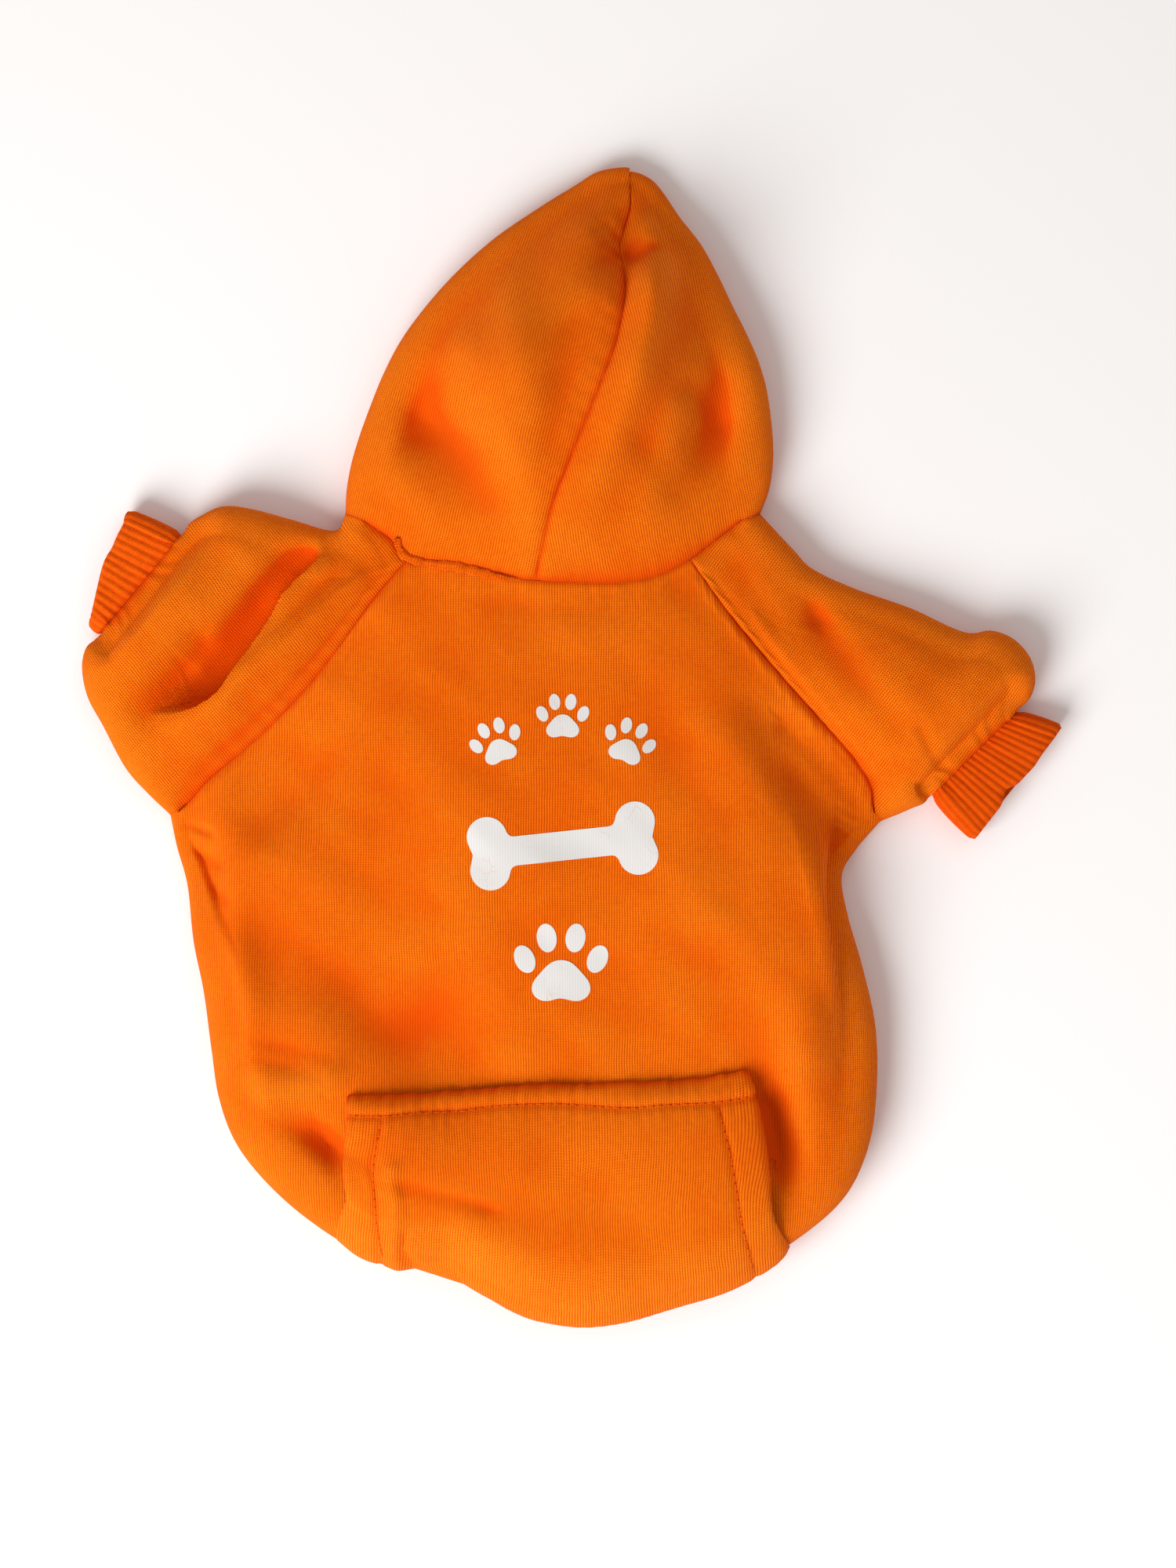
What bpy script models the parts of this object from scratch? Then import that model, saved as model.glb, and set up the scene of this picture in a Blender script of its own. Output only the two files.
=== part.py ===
"""Pullover hoodie for a small dog, lying flat on its belly with its back up.

Every piece is a sheet of cloth with a real wall: two hood panels, a back panel that rolls under
at its sides and tail, a belly panel, two raglan sleeves with ribbed cuffs, a ribbed hem band
round the waist opening, and a patch pocket that is open at both sides.
Metres, +Z up, +Y from tail to hood. The right side of the picture is +X.
"""

import math
from collections import namedtuple

import bmesh
import bpy
import numpy as np

# Cloth and seams
MM = 0.001
CLOTH = 2.2 * MM
RIB_CLOTH = 2.4 * MM
SEAM_GAP = 0.3 * MM
RIB_DEPTH = 0.5 * MM

# Body
BODY_WIDTH = 210 * MM
BODY_LENGTH = 257 * MM
BODY_FOLD = 10 * MM
BODY_RISE = 6 * MM
UNDERARM_FOLD = 3.6 * MM
UNDERARM_LEG = 3 * MM
SIDE_TURN = 10 * MM
HEM_TURN = 14 * MM
HEM_BAND = 20 * MM

# Neck
NECK_WIDTH = 133 * MM
NECK_SAG = 22.5 * MM
NECK_FOLD = 7 * MM
NECK_RISE = 7 * MM

# Hood
HOOD_WIDTH = 136 * MM
HOOD_LENGTH = 111 * MM
HOOD_FOLD = 9.5 * MM
TIP_FOLD = 5 * MM
HOOD_HEIGHT = 38 * MM

# Sleeves and cuffs
SLEEVE_REACH = 100 * MM
SLEEVE_FOLD = 8 * MM
SLEEVE_RISE = 4 * MM
CUFF_FOLD = 5.4 * MM
CUFF_WALL_STEPS = 3

# Pocket
POCKET_DEPTH = 10 * MM
POCKET_SEAT = 0.6 * MM
POCKET_TURN = 4 * MM

# Steps of each grid
SHOULDER_STEPS = 3
RAGLAN_STEPS = 12
NECK_STEPS = {"left": 4, "right": 5}
FRONT_SHOULDER_STEPS = 2
FRONT_RAGLAN_STEPS = 8
THROAT_STEPS = 2
ARC_STEPS = 5
BACK_STEPS = 14
TAIL_STEPS = 2
HOOD_STEPS = 12
SIDE_SEAM_COLUMNS = 6
BELLY_STEPS = 5
BAND_SPLIT = 5
OUTLINE_SAMPLES = 200
FOLD_SAMPLES = 2000
UNDERARM_CROWDING = 0.35
NORMAL_EASE = 24

ORANGE = (0.91, 0.15, 0.006)
RIB_ORANGE = (0.87, 0.11, 0.006)

# Points of the outlines. Across and down are shares of the named width and length,
# across from the neck's middle to the right and down from the neck's two corners.
Point = namedtuple("Point", "across down")

NECK_BACK = {
    "left": [Point(-0.457, 0.12), Point(-0.385, 0.39), Point(-0.348, 0.667)],
    "middle": [
        Point(-0.348, 0.667),
        Point(-0.273, 0.72),
        Point(-0.179, 0.82),
        Point(-0.103, 0.92),
        Point(-0.041, 0.967),
        Point(0.066, 1.0),
        Point(0.160, 1.0),
        Point(0.254, 0.89),
        Point(0.329, 0.667),
    ],
    "right": [Point(0.451, 0.12), Point(0.389, 0.39), Point(0.329, 0.667)],
}
NECK_CORNER = {"left": Point(-0.498, 0.0), "right": Point(0.498, 0.0)}
NECK_CORNER_TURN = {"left": 158, "right": 22}
HOOD_SEAM_FOOT = Point(-0.041, 0.967)
NECK_FRONT = {
    "left": [Point(-0.376, 0.28), Point(-0.216, 0.39)],
    "right": [Point(0.376, 0.28), Point(0.216, 0.39)],
}
THROAT = Point(0.0, 0.48)

RAGLAN_BACK = {
    "left": [
        Point(-0.268, 0.104),
        Point(-0.327, 0.170),
        Point(-0.381, 0.2235),
        Point(-0.446, 0.277),
        Point(-0.518, 0.3256),
    ],
    "right": [
        Point(0.268, 0.126),
        Point(0.333, 0.1895),
        Point(0.399, 0.250),
        Point(0.452, 0.298),
        Point(0.482, 0.335),
    ],
}
RAGLAN_FRONT = {
    "left": [Point(-0.250, 0.102), Point(-0.363, 0.190), Point(-0.470, 0.277), Point(-0.540, 0.335)],
    "right": [Point(0.245, 0.102), Point(0.339, 0.190), Point(0.420, 0.267), Point(0.460, 0.325)],
}
UNDERARM = {"left": Point(-0.583, 0.374), "right": Point(0.499, 0.382)}
UNDERARM_TURN = {"left": 200, "right": 308}

# The fold that runs down the left side, round the tail and up the right side
BODY_OUTLINE = [
    Point(-0.573, 0.413),
    Point(-0.556, 0.462),
    Point(-0.546, 0.530),
    Point(-0.530, 0.593),
    Point(-0.518, 0.666),
    Point(-0.507, 0.724),
    Point(-0.482, 0.778),
    Point(-0.437, 0.826),
    Point(-0.373, 0.873),
    Point(-0.298, 0.911),
    Point(-0.190, 0.940),
    Point(-0.077, 0.969),
    Point(0.042, 0.995),
    Point(0.173, 0.974),
    Point(0.292, 0.937),
    Point(0.384, 0.891),
    Point(0.446, 0.843),
    Point(0.480, 0.782),
    Point(0.492, 0.714),
    Point(0.490, 0.636),
    Point(0.470, 0.561),
    Point(0.449, 0.500),
    Point(0.440, 0.450),
    Point(0.461, 0.418),
]

# Hood: across is a share of the hood's width, down is negative above the neck's corners
HOOD_SEAM = [
    Point(-0.028, -0.101),
    Point(0.000, 0.011),
    Point(0.035, 0.124),
    Point(0.073, 0.236),
    Point(0.110, 0.349),
    Point(0.145, 0.462),
    Point(0.165, 0.574),
    Point(0.169, 0.642),
    Point(0.163, 0.709),
    Point(0.156, 0.759),
    Point(0.169, 0.818),
    Point(0.182, 0.872),
    Point(0.180, 0.912),
]
HOOD_SIDE = {
    "left": [
        Point(-0.484, 0.068),
        Point(-0.473, 0.142),
        Point(-0.455, 0.218),
        Point(-0.428, 0.309),
        Point(-0.396, 0.405),
        Point(-0.354, 0.502),
        Point(-0.297, 0.597),
        Point(-0.226, 0.694),
        Point(-0.138, 0.791),
        Point(-0.031, 0.883),
        Point(0.055, 0.950),
        Point(0.110, 0.993),
        Point(0.150, 1.000),
        Point(0.174, 0.986),
    ],
    "right": [
        Point(0.506, 0.061),
        Point(0.516, 0.131),
        Point(0.517, 0.203),
        Point(0.510, 0.293),
        Point(0.499, 0.372),
        Point(0.479, 0.450),
        Point(0.450, 0.529),
        Point(0.424, 0.592),
        Point(0.389, 0.682),
        Point(0.349, 0.773),
        Point(0.299, 0.854),
        Point(0.259, 0.928),
        Point(0.226, 0.975),
        Point(0.202, 0.988),
        Point(0.176, 0.986),
    ],
}
FACE_RIM = {
    "left": [
        Point(-0.092, -0.038),
        Point(-0.171, 0.034),
        Point(-0.220, 0.124),
        Point(-0.240, 0.232),
        Point(-0.224, 0.349),
        Point(-0.174, 0.473),
        Point(-0.092, 0.592),
        Point(0.000, 0.705),
        Point(0.092, 0.800),
        Point(0.160, 0.864),
    ],
    "right": [
        Point(0.086, -0.043),
        Point(0.174, 0.023),
        Point(0.240, 0.113),
        Point(0.270, 0.225),
        Point(0.277, 0.349),
        Point(0.270, 0.473),
        Point(0.251, 0.592),
        Point(0.226, 0.698),
        Point(0.200, 0.790),
        Point(0.182, 0.864),
    ],
}
# Height of the hood's back seam and swell of its two panels, as shares of the hood's height,
# at each share of the way from neck to tip
HoodSection = namedtuple("HoodSection", "way seam left_swell right_swell fold")
HOOD_SECTIONS = [
    HoodSection(0.00, 0.55, 0.00, 0.00, 0.75),
    HoodSection(0.12, 0.78, 0.10, 0.10, 0.95),
    HoodSection(0.30, 0.92, 0.18, 0.18, 1.00),
    HoodSection(0.50, 0.98, 0.20, 0.20, 1.00),
    HoodSection(0.68, 0.86, 0.18, 0.18, 0.90),
    HoodSection(0.80, 0.60, 0.18, 0.12, 0.72),
    HoodSection(0.92, 0.38, 0.08, 0.03, 0.52),
    HoodSection(1.00, 0.29, 0.00, 0.00, 0.50),
]

# Sleeve outlines: across and down are shares of the sleeve's reach from the neck's corner
# (upper rail) and from the underarm (lower rail)
SLEEVE_UPPER = {
    "left": [
        Point(-0.035, 0.052),
        Point(-0.170, 0.018),
        Point(-0.302, -0.017),
        Point(-0.390, -0.025),
        Point(-0.463, 0.005),
        Point(-0.500, 0.030),
        Point(-0.517, 0.062),
    ],
    "right": [
        Point(0.105, 0.112),
        Point(0.168, 0.175),
        Point(0.302, 0.237),
        Point(0.480, 0.300),
        Point(0.612, 0.362),
        Point(0.675, 0.380),
        Point(0.740, 0.372),
        Point(0.810, 0.400),
        Point(0.862, 0.460),
        Point(0.878, 0.530),
        Point(0.862, 0.588),
        Point(0.825, 0.625),
    ],
}
SLEEVE_LOWER = {
    "left": [
        Point(-0.070, -0.068),
        Point(-0.140, -0.150),
        Point(-0.212, -0.285),
        Point(-0.260, -0.375),
        Point(-0.278, -0.465),
        Point(-0.268, -0.530),
        Point(-0.240, -0.560),
        Point(-0.222, -0.574),
    ],
    "right": [
        Point(0.055, -0.022),
        Point(0.100, -0.042),
        Point(0.137, -0.057),
        Point(0.157, -0.080),
    ],
}
CUFF_MOUTH = {
    "left": (Point(-0.685, -0.015), Point(-0.258, -0.608)),
    "right": (Point(0.970, 0.675), Point(0.292, 0.065)),
}
# A sleeve's sections from its shoulder seam to its cuff, and the shares of the way along its
# upper and lower outline where each one ends. The folds are shares of SLEEVE_FOLD, the rise of
# SLEEVE_RISE, the tuck of TUCK_DEPTH.
SleeveSection = namedtuple("SleeveSection", "way upper lower upper_fold lower_fold rise tuck")
SLEEVE_SECTIONS = {
    "left": [
        SleeveSection(0.00, 0.000, 0.00, 0.88, 0.45, 0.0, 0.0),
        SleeveSection(0.11, 0.045, 0.15, 0.92, 0.75, 1.5, 0.0),
        SleeveSection(0.21, 0.085, 0.29, 0.90, 1.00, 2.0, 0.0),
        SleeveSection(0.26, 0.115, 0.35, 0.85, 1.05, 1.7, 0.1),
        SleeveSection(0.31, 0.165, 0.40, 0.75, 1.05, 0.7, 0.9),
        SleeveSection(0.42, 0.280, 0.52, 0.90, 1.05, 0.6, 0.8),
        SleeveSection(0.60, 0.500, 0.68, 1.10, 1.10, 0.9, 0.3),
        SleeveSection(0.77, 0.730, 0.81, 1.05, 1.15, 1.1, 0.0),
        SleeveSection(0.92, 0.900, 0.93, 0.80, 1.00, 0.6, 0.0),
        SleeveSection(1.00, 1.000, 1.00, 0.58, 0.58, 0.0, 0.0),
    ],
    "right": [
        SleeveSection(0.00, 0.000, 0.00, 0.88, 0.45, 0.0, 0.0),
        SleeveSection(0.14, 0.140, 0.14, 0.95, 0.60, 1.2, 0.0),
        SleeveSection(0.26, 0.260, 0.28, 0.85, 0.74, 1.4, 0.0),
        SleeveSection(0.44, 0.440, 0.44, 0.90, 0.86, 1.6, 0.0),
        SleeveSection(0.62, 0.620, 0.60, 0.95, 0.94, 1.7, 0.0),
        SleeveSection(0.75, 0.750, 0.74, 1.10, 0.90, 1.5, 0.0),
        SleeveSection(0.87, 0.870, 0.86, 1.15, 0.80, 1.0, 0.0),
        SleeveSection(0.96, 0.960, 0.95, 0.90, 0.66, 0.3, 0.0),
        SleeveSection(1.00, 1.000, 1.00, 0.58, 0.58, 0.0, 0.0),
    ],
}
TUCK_DEPTH = 12 * MM
# How strong that crease is along the sleeve's section, from its upper to its lower rail
TUCK_ALONG = {"station": [0.0, 0.1, 0.3, 0.6, 0.8, 0.92], "strength": [0.2, 0.7, 1.0, 1.0, 0.6, 0.0]}

# Dents and swells of the cloth: a soft oval bump or hollow. Its middle is in shares of the body's
# (or hood's) width and length, its half sizes and height in metres, its turn in degrees from +X.
Relief = namedtuple("Relief", "name across down along aside turn height")
BODY_RELIEF = [
    Relief("left_side_swell", -0.480, 0.560, 52 * MM, 9 * MM, 96, 6.0 * MM),
    Relief("left_hollow", -0.250, 0.540, 52 * MM, 20 * MM, 118, -6.5 * MM),
    Relief("lower_left_swell", -0.440, 0.745, 34 * MM, 10 * MM, 128, 5.0 * MM),
    Relief("crease_to_pocket", -0.365, 0.770, 20 * MM, 6 * MM, 150, -6.0 * MM),
    Relief("right_swell", 0.400, 0.600, 48 * MM, 12 * MM, 84, 5.0 * MM),
    Relief("under_right_raglan", 0.385, 0.345, 30 * MM, 8 * MM, 118, -7.0 * MM),
    Relief("under_left_raglan", -0.400, 0.345, 34 * MM, 9 * MM, 46, -4.0 * MM),
    Relief("right_of_pocket", 0.345, 0.790, 28 * MM, 7 * MM, 100, -6.5 * MM),
    Relief("pocket_bed", 0.010, 0.870, 46 * MM, 15 * MM, 0, -5.0 * MM),
    Relief("middle_hollow", 0.060, 0.480, 60 * MM, 30 * MM, 90, -3.5 * MM),
]
HOOD_RELIEF = [
    Relief("left_valley", -0.245, 0.190, 40 * MM, 10 * MM, 124, -10.0 * MM),
    Relief("left_ridge", -0.070, 0.330, 46 * MM, 11 * MM, 100, 5.0 * MM),
    Relief("left_edge_swell", -0.400, 0.250, 30 * MM, 8 * MM, 105, 3.0 * MM),
    Relief("right_ridge", 0.225, 0.450, 52 * MM, 8 * MM, 74, 6.0 * MM),
    Relief("right_valley", 0.385, 0.260, 34 * MM, 9 * MM, 68, -9.0 * MM),
    Relief("tip_pinch", 0.185, 0.740, 10 * MM, 5.5 * MM, 8, -3.5 * MM),
]
SLEEVE_RELIEF = {
    "left": [Relief("upper_arm_crease", -0.560, 0.180, 22 * MM, 7 * MM, 60, -2.0 * MM)],
    "right": [
        Relief("shoulder_crease", 0.410, 0.115, 22 * MM, 5 * MM, 110, -2.0 * MM),
        Relief("sleeve_middle", 0.560, 0.290, 26 * MM, 12 * MM, 40, 1.5 * MM),
    ],
}

# Pocket: the back panel's column and way down its top at the pocket's edges
PocketCorner = namedtuple("PocketCorner", "way_down left_column right_column")
POCKET_SIDES = [
    PocketCorner(0.0, 12.00, 20.70),
    PocketCorner(0.5, 12.05, 20.87),
    PocketCorner(1.0, 12.60, 20.65),
]
POCKET_TOP = {"left": 0.829, "middle": 0.736, "right": 0.771}
POCKET_FLAT_STEPS = 6


def placed(point, width, length, origin=(0.0, 0.0)):
    return np.array([origin[0] + point.across * width, origin[1] - point.down * length])


def placed_line(points, width, length, origin=(0.0, 0.0)):
    return [placed(point, width, length, origin) for point in points]


def direction(degrees):
    return np.array([math.cos(math.radians(degrees)), math.sin(math.radians(degrees))])


def respaced(line, count):
    """The line's points taken again, count steps of one length."""
    line = np.array(line, float)
    steps = np.linalg.norm(np.diff(line, axis=0), axis=1)
    reached = np.concatenate([[0.0], np.cumsum(steps)])
    wanted = np.linspace(0.0, reached[-1], count + 1)
    return np.stack([np.interp(wanted, reached, line[:, k]) for k in range(line.shape[1])], axis=1)


def smooth_line(points, count):
    """A Catmull-Rom curve through the points, in count even steps."""
    p = np.array(points, float)
    p = np.vstack([2 * p[0] - p[1], p, 2 * p[-1] - p[-2]])
    fine = []
    for i in range(1, len(p) - 2):
        for t in np.linspace(0.0, 1.0, 16, endpoint=False):
            fine.append(
                0.5
                * (
                    2 * p[i]
                    + (p[i + 1] - p[i - 1]) * t
                    + (2 * p[i - 1] - 5 * p[i] + 4 * p[i + 1] - p[i + 2]) * t**2
                    + (3 * p[i] - p[i - 1] - 3 * p[i + 1] + p[i + 2]) * t**3
                )
            )
    fine.append(p[-2])
    return respaced(fine, count)


def smooth_step(x):
    x = np.clip(x, 0.0, 1.0)
    return x * x * (3 - 2 * x)


def column_of(table, name, way):
    """One named column of a table of sections, read between its rows."""
    return np.interp(way, [row.way for row in table], [getattr(row, name) for row in table])


def relief_at(table, x, y, width, length, upward=False):
    """Summed height of the dents and swells at one place."""
    total = 0.0
    for dent in table:
        middle_y = dent.down * length if upward else -dent.down * length
        dx, dy = x - dent.across * width, y - middle_y
        c, s = math.cos(math.radians(dent.turn)), math.sin(math.radians(dent.turn))
        u, v = (dx * c + dy * s) / dent.along, (dy * c - dx * s) / dent.aside
        total += dent.height * math.exp(-(u * u + v * v))
    return total


def outline_normals(line, first=None, last=None):
    """Unit normals to the right of a line's direction. The end ones may be given."""
    slopes = np.gradient(line, axis=0)
    normals = np.stack([slopes[:, 1], -slopes[:, 0]], axis=1)
    normals /= np.linalg.norm(normals, axis=1)[:, None]
    if first is not None:
        normals[0] = first
    if last is not None:
        normals[-1] = last
    return normals


def eased_normals(line, sense):
    """Outline normals averaged along the line, so that they turn slowly at its corners."""
    normals = outline_normals(line) * sense
    ends = [normals[:1]] * NORMAL_EASE, [normals[-1:]] * NORMAL_EASE
    padded = np.concatenate([*ends[0], normals, *ends[1]])
    window = 2 * NORMAL_EASE + 1
    eased = np.array([padded[i : i + window].mean(axis=0) for i in range(len(normals))])
    return eased / np.linalg.norm(eased, axis=1)[:, None]


def fold_arc(tangent, outward, radius, floor=0.0, cloth=CLOTH):
    """The half circle where a sheet turns under: its outer and inner points, top first."""
    outer, inner = [], []
    for k in range(ARC_STEPS + 1):
        angle = math.pi / 2 - math.pi * k / ARC_STEPS
        for points, r in ((outer, radius), (inner, radius - cloth)):
            flat = tangent + outward * r * math.cos(angle)
            points.append([flat[0], flat[1], floor + radius + r * math.sin(angle)])
    return np.array(outer), np.array(inner)


def raised(line, heights):
    return np.column_stack([np.array(line), heights])


def wall_side(outer, cloth, wrap=False):
    """The inner side of a grid of outer points, one cloth away along its normals."""
    padded = np.concatenate([outer[:, -1:], outer, outer[:, :1]], axis=1) if wrap else outer
    across = np.gradient(padded, axis=1)
    across = across[:, 1:-1] if wrap else across
    normals = np.cross(np.gradient(outer, axis=0), across)
    normals /= np.linalg.norm(normals, axis=2)[:, :, None]
    height = outer[:, :, 2] - outer[:, :, 2].mean()
    return outer - cloth * normals * np.sign(np.sum(normals[:, :, 2] * height))


def add_solid(name, outer, inner, material, wrap=False):
    """One closed body from the outer and inner points of a sheet or a tube."""
    rows, columns = outer.shape[:2]
    half = rows * columns
    points = np.concatenate([outer.reshape(-1, 3), inner.reshape(-1, 3)])
    faces = []
    for i in range(rows - 1):
        for j in range(columns if wrap else columns - 1):
            k = (j + 1) % columns
            quad = (i * columns + j, i * columns + k, (i + 1) * columns + k, (i + 1) * columns + j)
            faces.append(quad)
            faces.append(tuple(half + v for v in reversed(quad)))
    for i, step in ((0, 1), (rows - 1, -1)):
        for j in range(columns if wrap else columns - 1):
            a, b = i * columns + j, i * columns + (j + 1) % columns
            faces.append((b, a, half + a, half + b)[::step])
    if not wrap:
        for j, step in ((0, 1), (columns - 1, -1)):
            for i in range(rows - 1):
                a, b = i * columns + j, (i + 1) * columns + j
                faces.append((a, b, half + b, half + a)[::step])
    mesh = bpy.data.meshes.new(name)
    mesh.from_pydata([tuple(p) for p in points], [], faces)
    shape = bmesh.new()
    shape.from_mesh(mesh)
    bmesh.ops.recalc_face_normals(shape, faces=shape.faces)
    shape.to_mesh(mesh)
    shape.free()
    mesh.shade_smooth()
    mesh.set_sharp_from_angle(angle=math.radians(50))
    mesh.materials.append(material)
    part = bpy.data.objects.new(name, mesh)
    bpy.context.scene.collection.objects.link(part)
    return part


def new_material(name, colour, roughness):
    material = bpy.data.materials.new(name)
    material.use_nodes = True
    shader = material.node_tree.nodes["Principled BSDF"]
    shader.inputs["Base Color"].default_value = (*colour, 1.0)
    shader.inputs["Roughness"].default_value = roughness
    shader.inputs["Metallic"].default_value = 0.0
    return material


class Neck:
    """The seam loop where the hood meets the body and the sleeves."""

    def __init__(self):
        self.back, self.front, self.arc = {}, {}, {}
        self.corner, self.outward, self.tangent = {}, {}, {}
        middle = placed_line(NECK_BACK["middle"], NECK_WIDTH, NECK_SAG)
        foot = placed(HOOD_SEAM_FOOT, NECK_WIDTH, NECK_SAG)
        fine = smooth_line(middle, 200)
        cut = int(np.argmin(np.linalg.norm(fine - foot, axis=1)))
        flat = {
            "left": respaced(fine[: cut + 1][::-1], NECK_STEPS["left"]),
            "right": respaced(fine[cut:], NECK_STEPS["right"]),
        }
        for side in ("left", "right"):
            corner = placed(NECK_CORNER[side], NECK_WIDTH, NECK_SAG)
            outward = direction(NECK_CORNER_TURN[side])
            tangent = corner - outward * NECK_FOLD
            shoulder = placed_line(NECK_BACK[side], NECK_WIDTH, NECK_SAG)
            shoulder = smooth_line([tangent] + shoulder[1:], SHOULDER_STEPS)[::-1]
            line = np.concatenate([flat[side], shoulder[1:]])
            self.corner[side], self.outward[side], self.tangent[side] = corner, outward, tangent
            self.back[side] = raised(line, [self.height(p[0]) for p in line])
            self.arc[side] = fold_arc(tangent, outward, NECK_FOLD)
            front = placed_line(NECK_FRONT[side], NECK_WIDTH, NECK_SAG)
            throat = placed(THROAT, NECK_WIDTH, NECK_SAG)
            line = np.concatenate(
                [
                    smooth_line([tangent, front[0], front[1]], FRONT_SHOULDER_STEPS),
                    respaced([front[1], throat], THROAT_STEPS)[1:],
                ]
            )
            self.front[side] = raised(line, np.zeros(len(line)))

    def height(self, x):
        half = NECK_WIDTH / 2 - NECK_FOLD
        return 2 * NECK_FOLD + NECK_RISE * math.cos(min(1.0, abs(x) / half) * math.pi / 2)


class Raglan:
    """The seam loop where a sleeve meets the back and belly panels."""

    def __init__(self, side, neck):
        joint = neck.back[side][NECK_STEPS[side]]
        fold = placed(UNDERARM[side], BODY_WIDTH, BODY_LENGTH)
        self.outward = direction(UNDERARM_TURN[side])
        self.fold = fold
        self.tangent = fold - self.outward * UNDERARM_FOLD
        back = placed_line(RAGLAN_BACK[side], BODY_WIDTH, BODY_LENGTH)
        self.leg = self.short_of_underarm(back[-1])
        line = smooth_line([joint[:2]] + back + [self.leg], RAGLAN_STEPS)
        line = np.vstack([line, self.tangent])
        low = 2 * UNDERARM_FOLD
        ways = np.linspace(0.0, 1.0, len(line))
        self.back = raised(line, low + (joint[2] - low) * (1 - ways**2.4))
        self.arc = fold_arc(self.tangent, self.outward, UNDERARM_FOLD)
        front = placed_line(RAGLAN_FRONT[side], BODY_WIDTH, BODY_LENGTH)
        start = neck.front[side][FRONT_SHOULDER_STEPS]
        self.front_leg = self.short_of_underarm(front[-1])
        line = smooth_line([start[:2]] + front + [self.front_leg], FRONT_RAGLAN_STEPS - 1)
        line = np.vstack([line, self.tangent])[::-1]
        self.front = raised(line, np.zeros(len(line)))

    def short_of_underarm(self, towards):
        way = towards - self.tangent
        return self.tangent + way / np.linalg.norm(way) * UNDERARM_LEG


def walled(line, up):
    """Inner points of a seam on the top (up) or underside of the hoodie."""
    return line + np.array([0.0, 0.0, -CLOTH if up else CLOTH])


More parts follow.
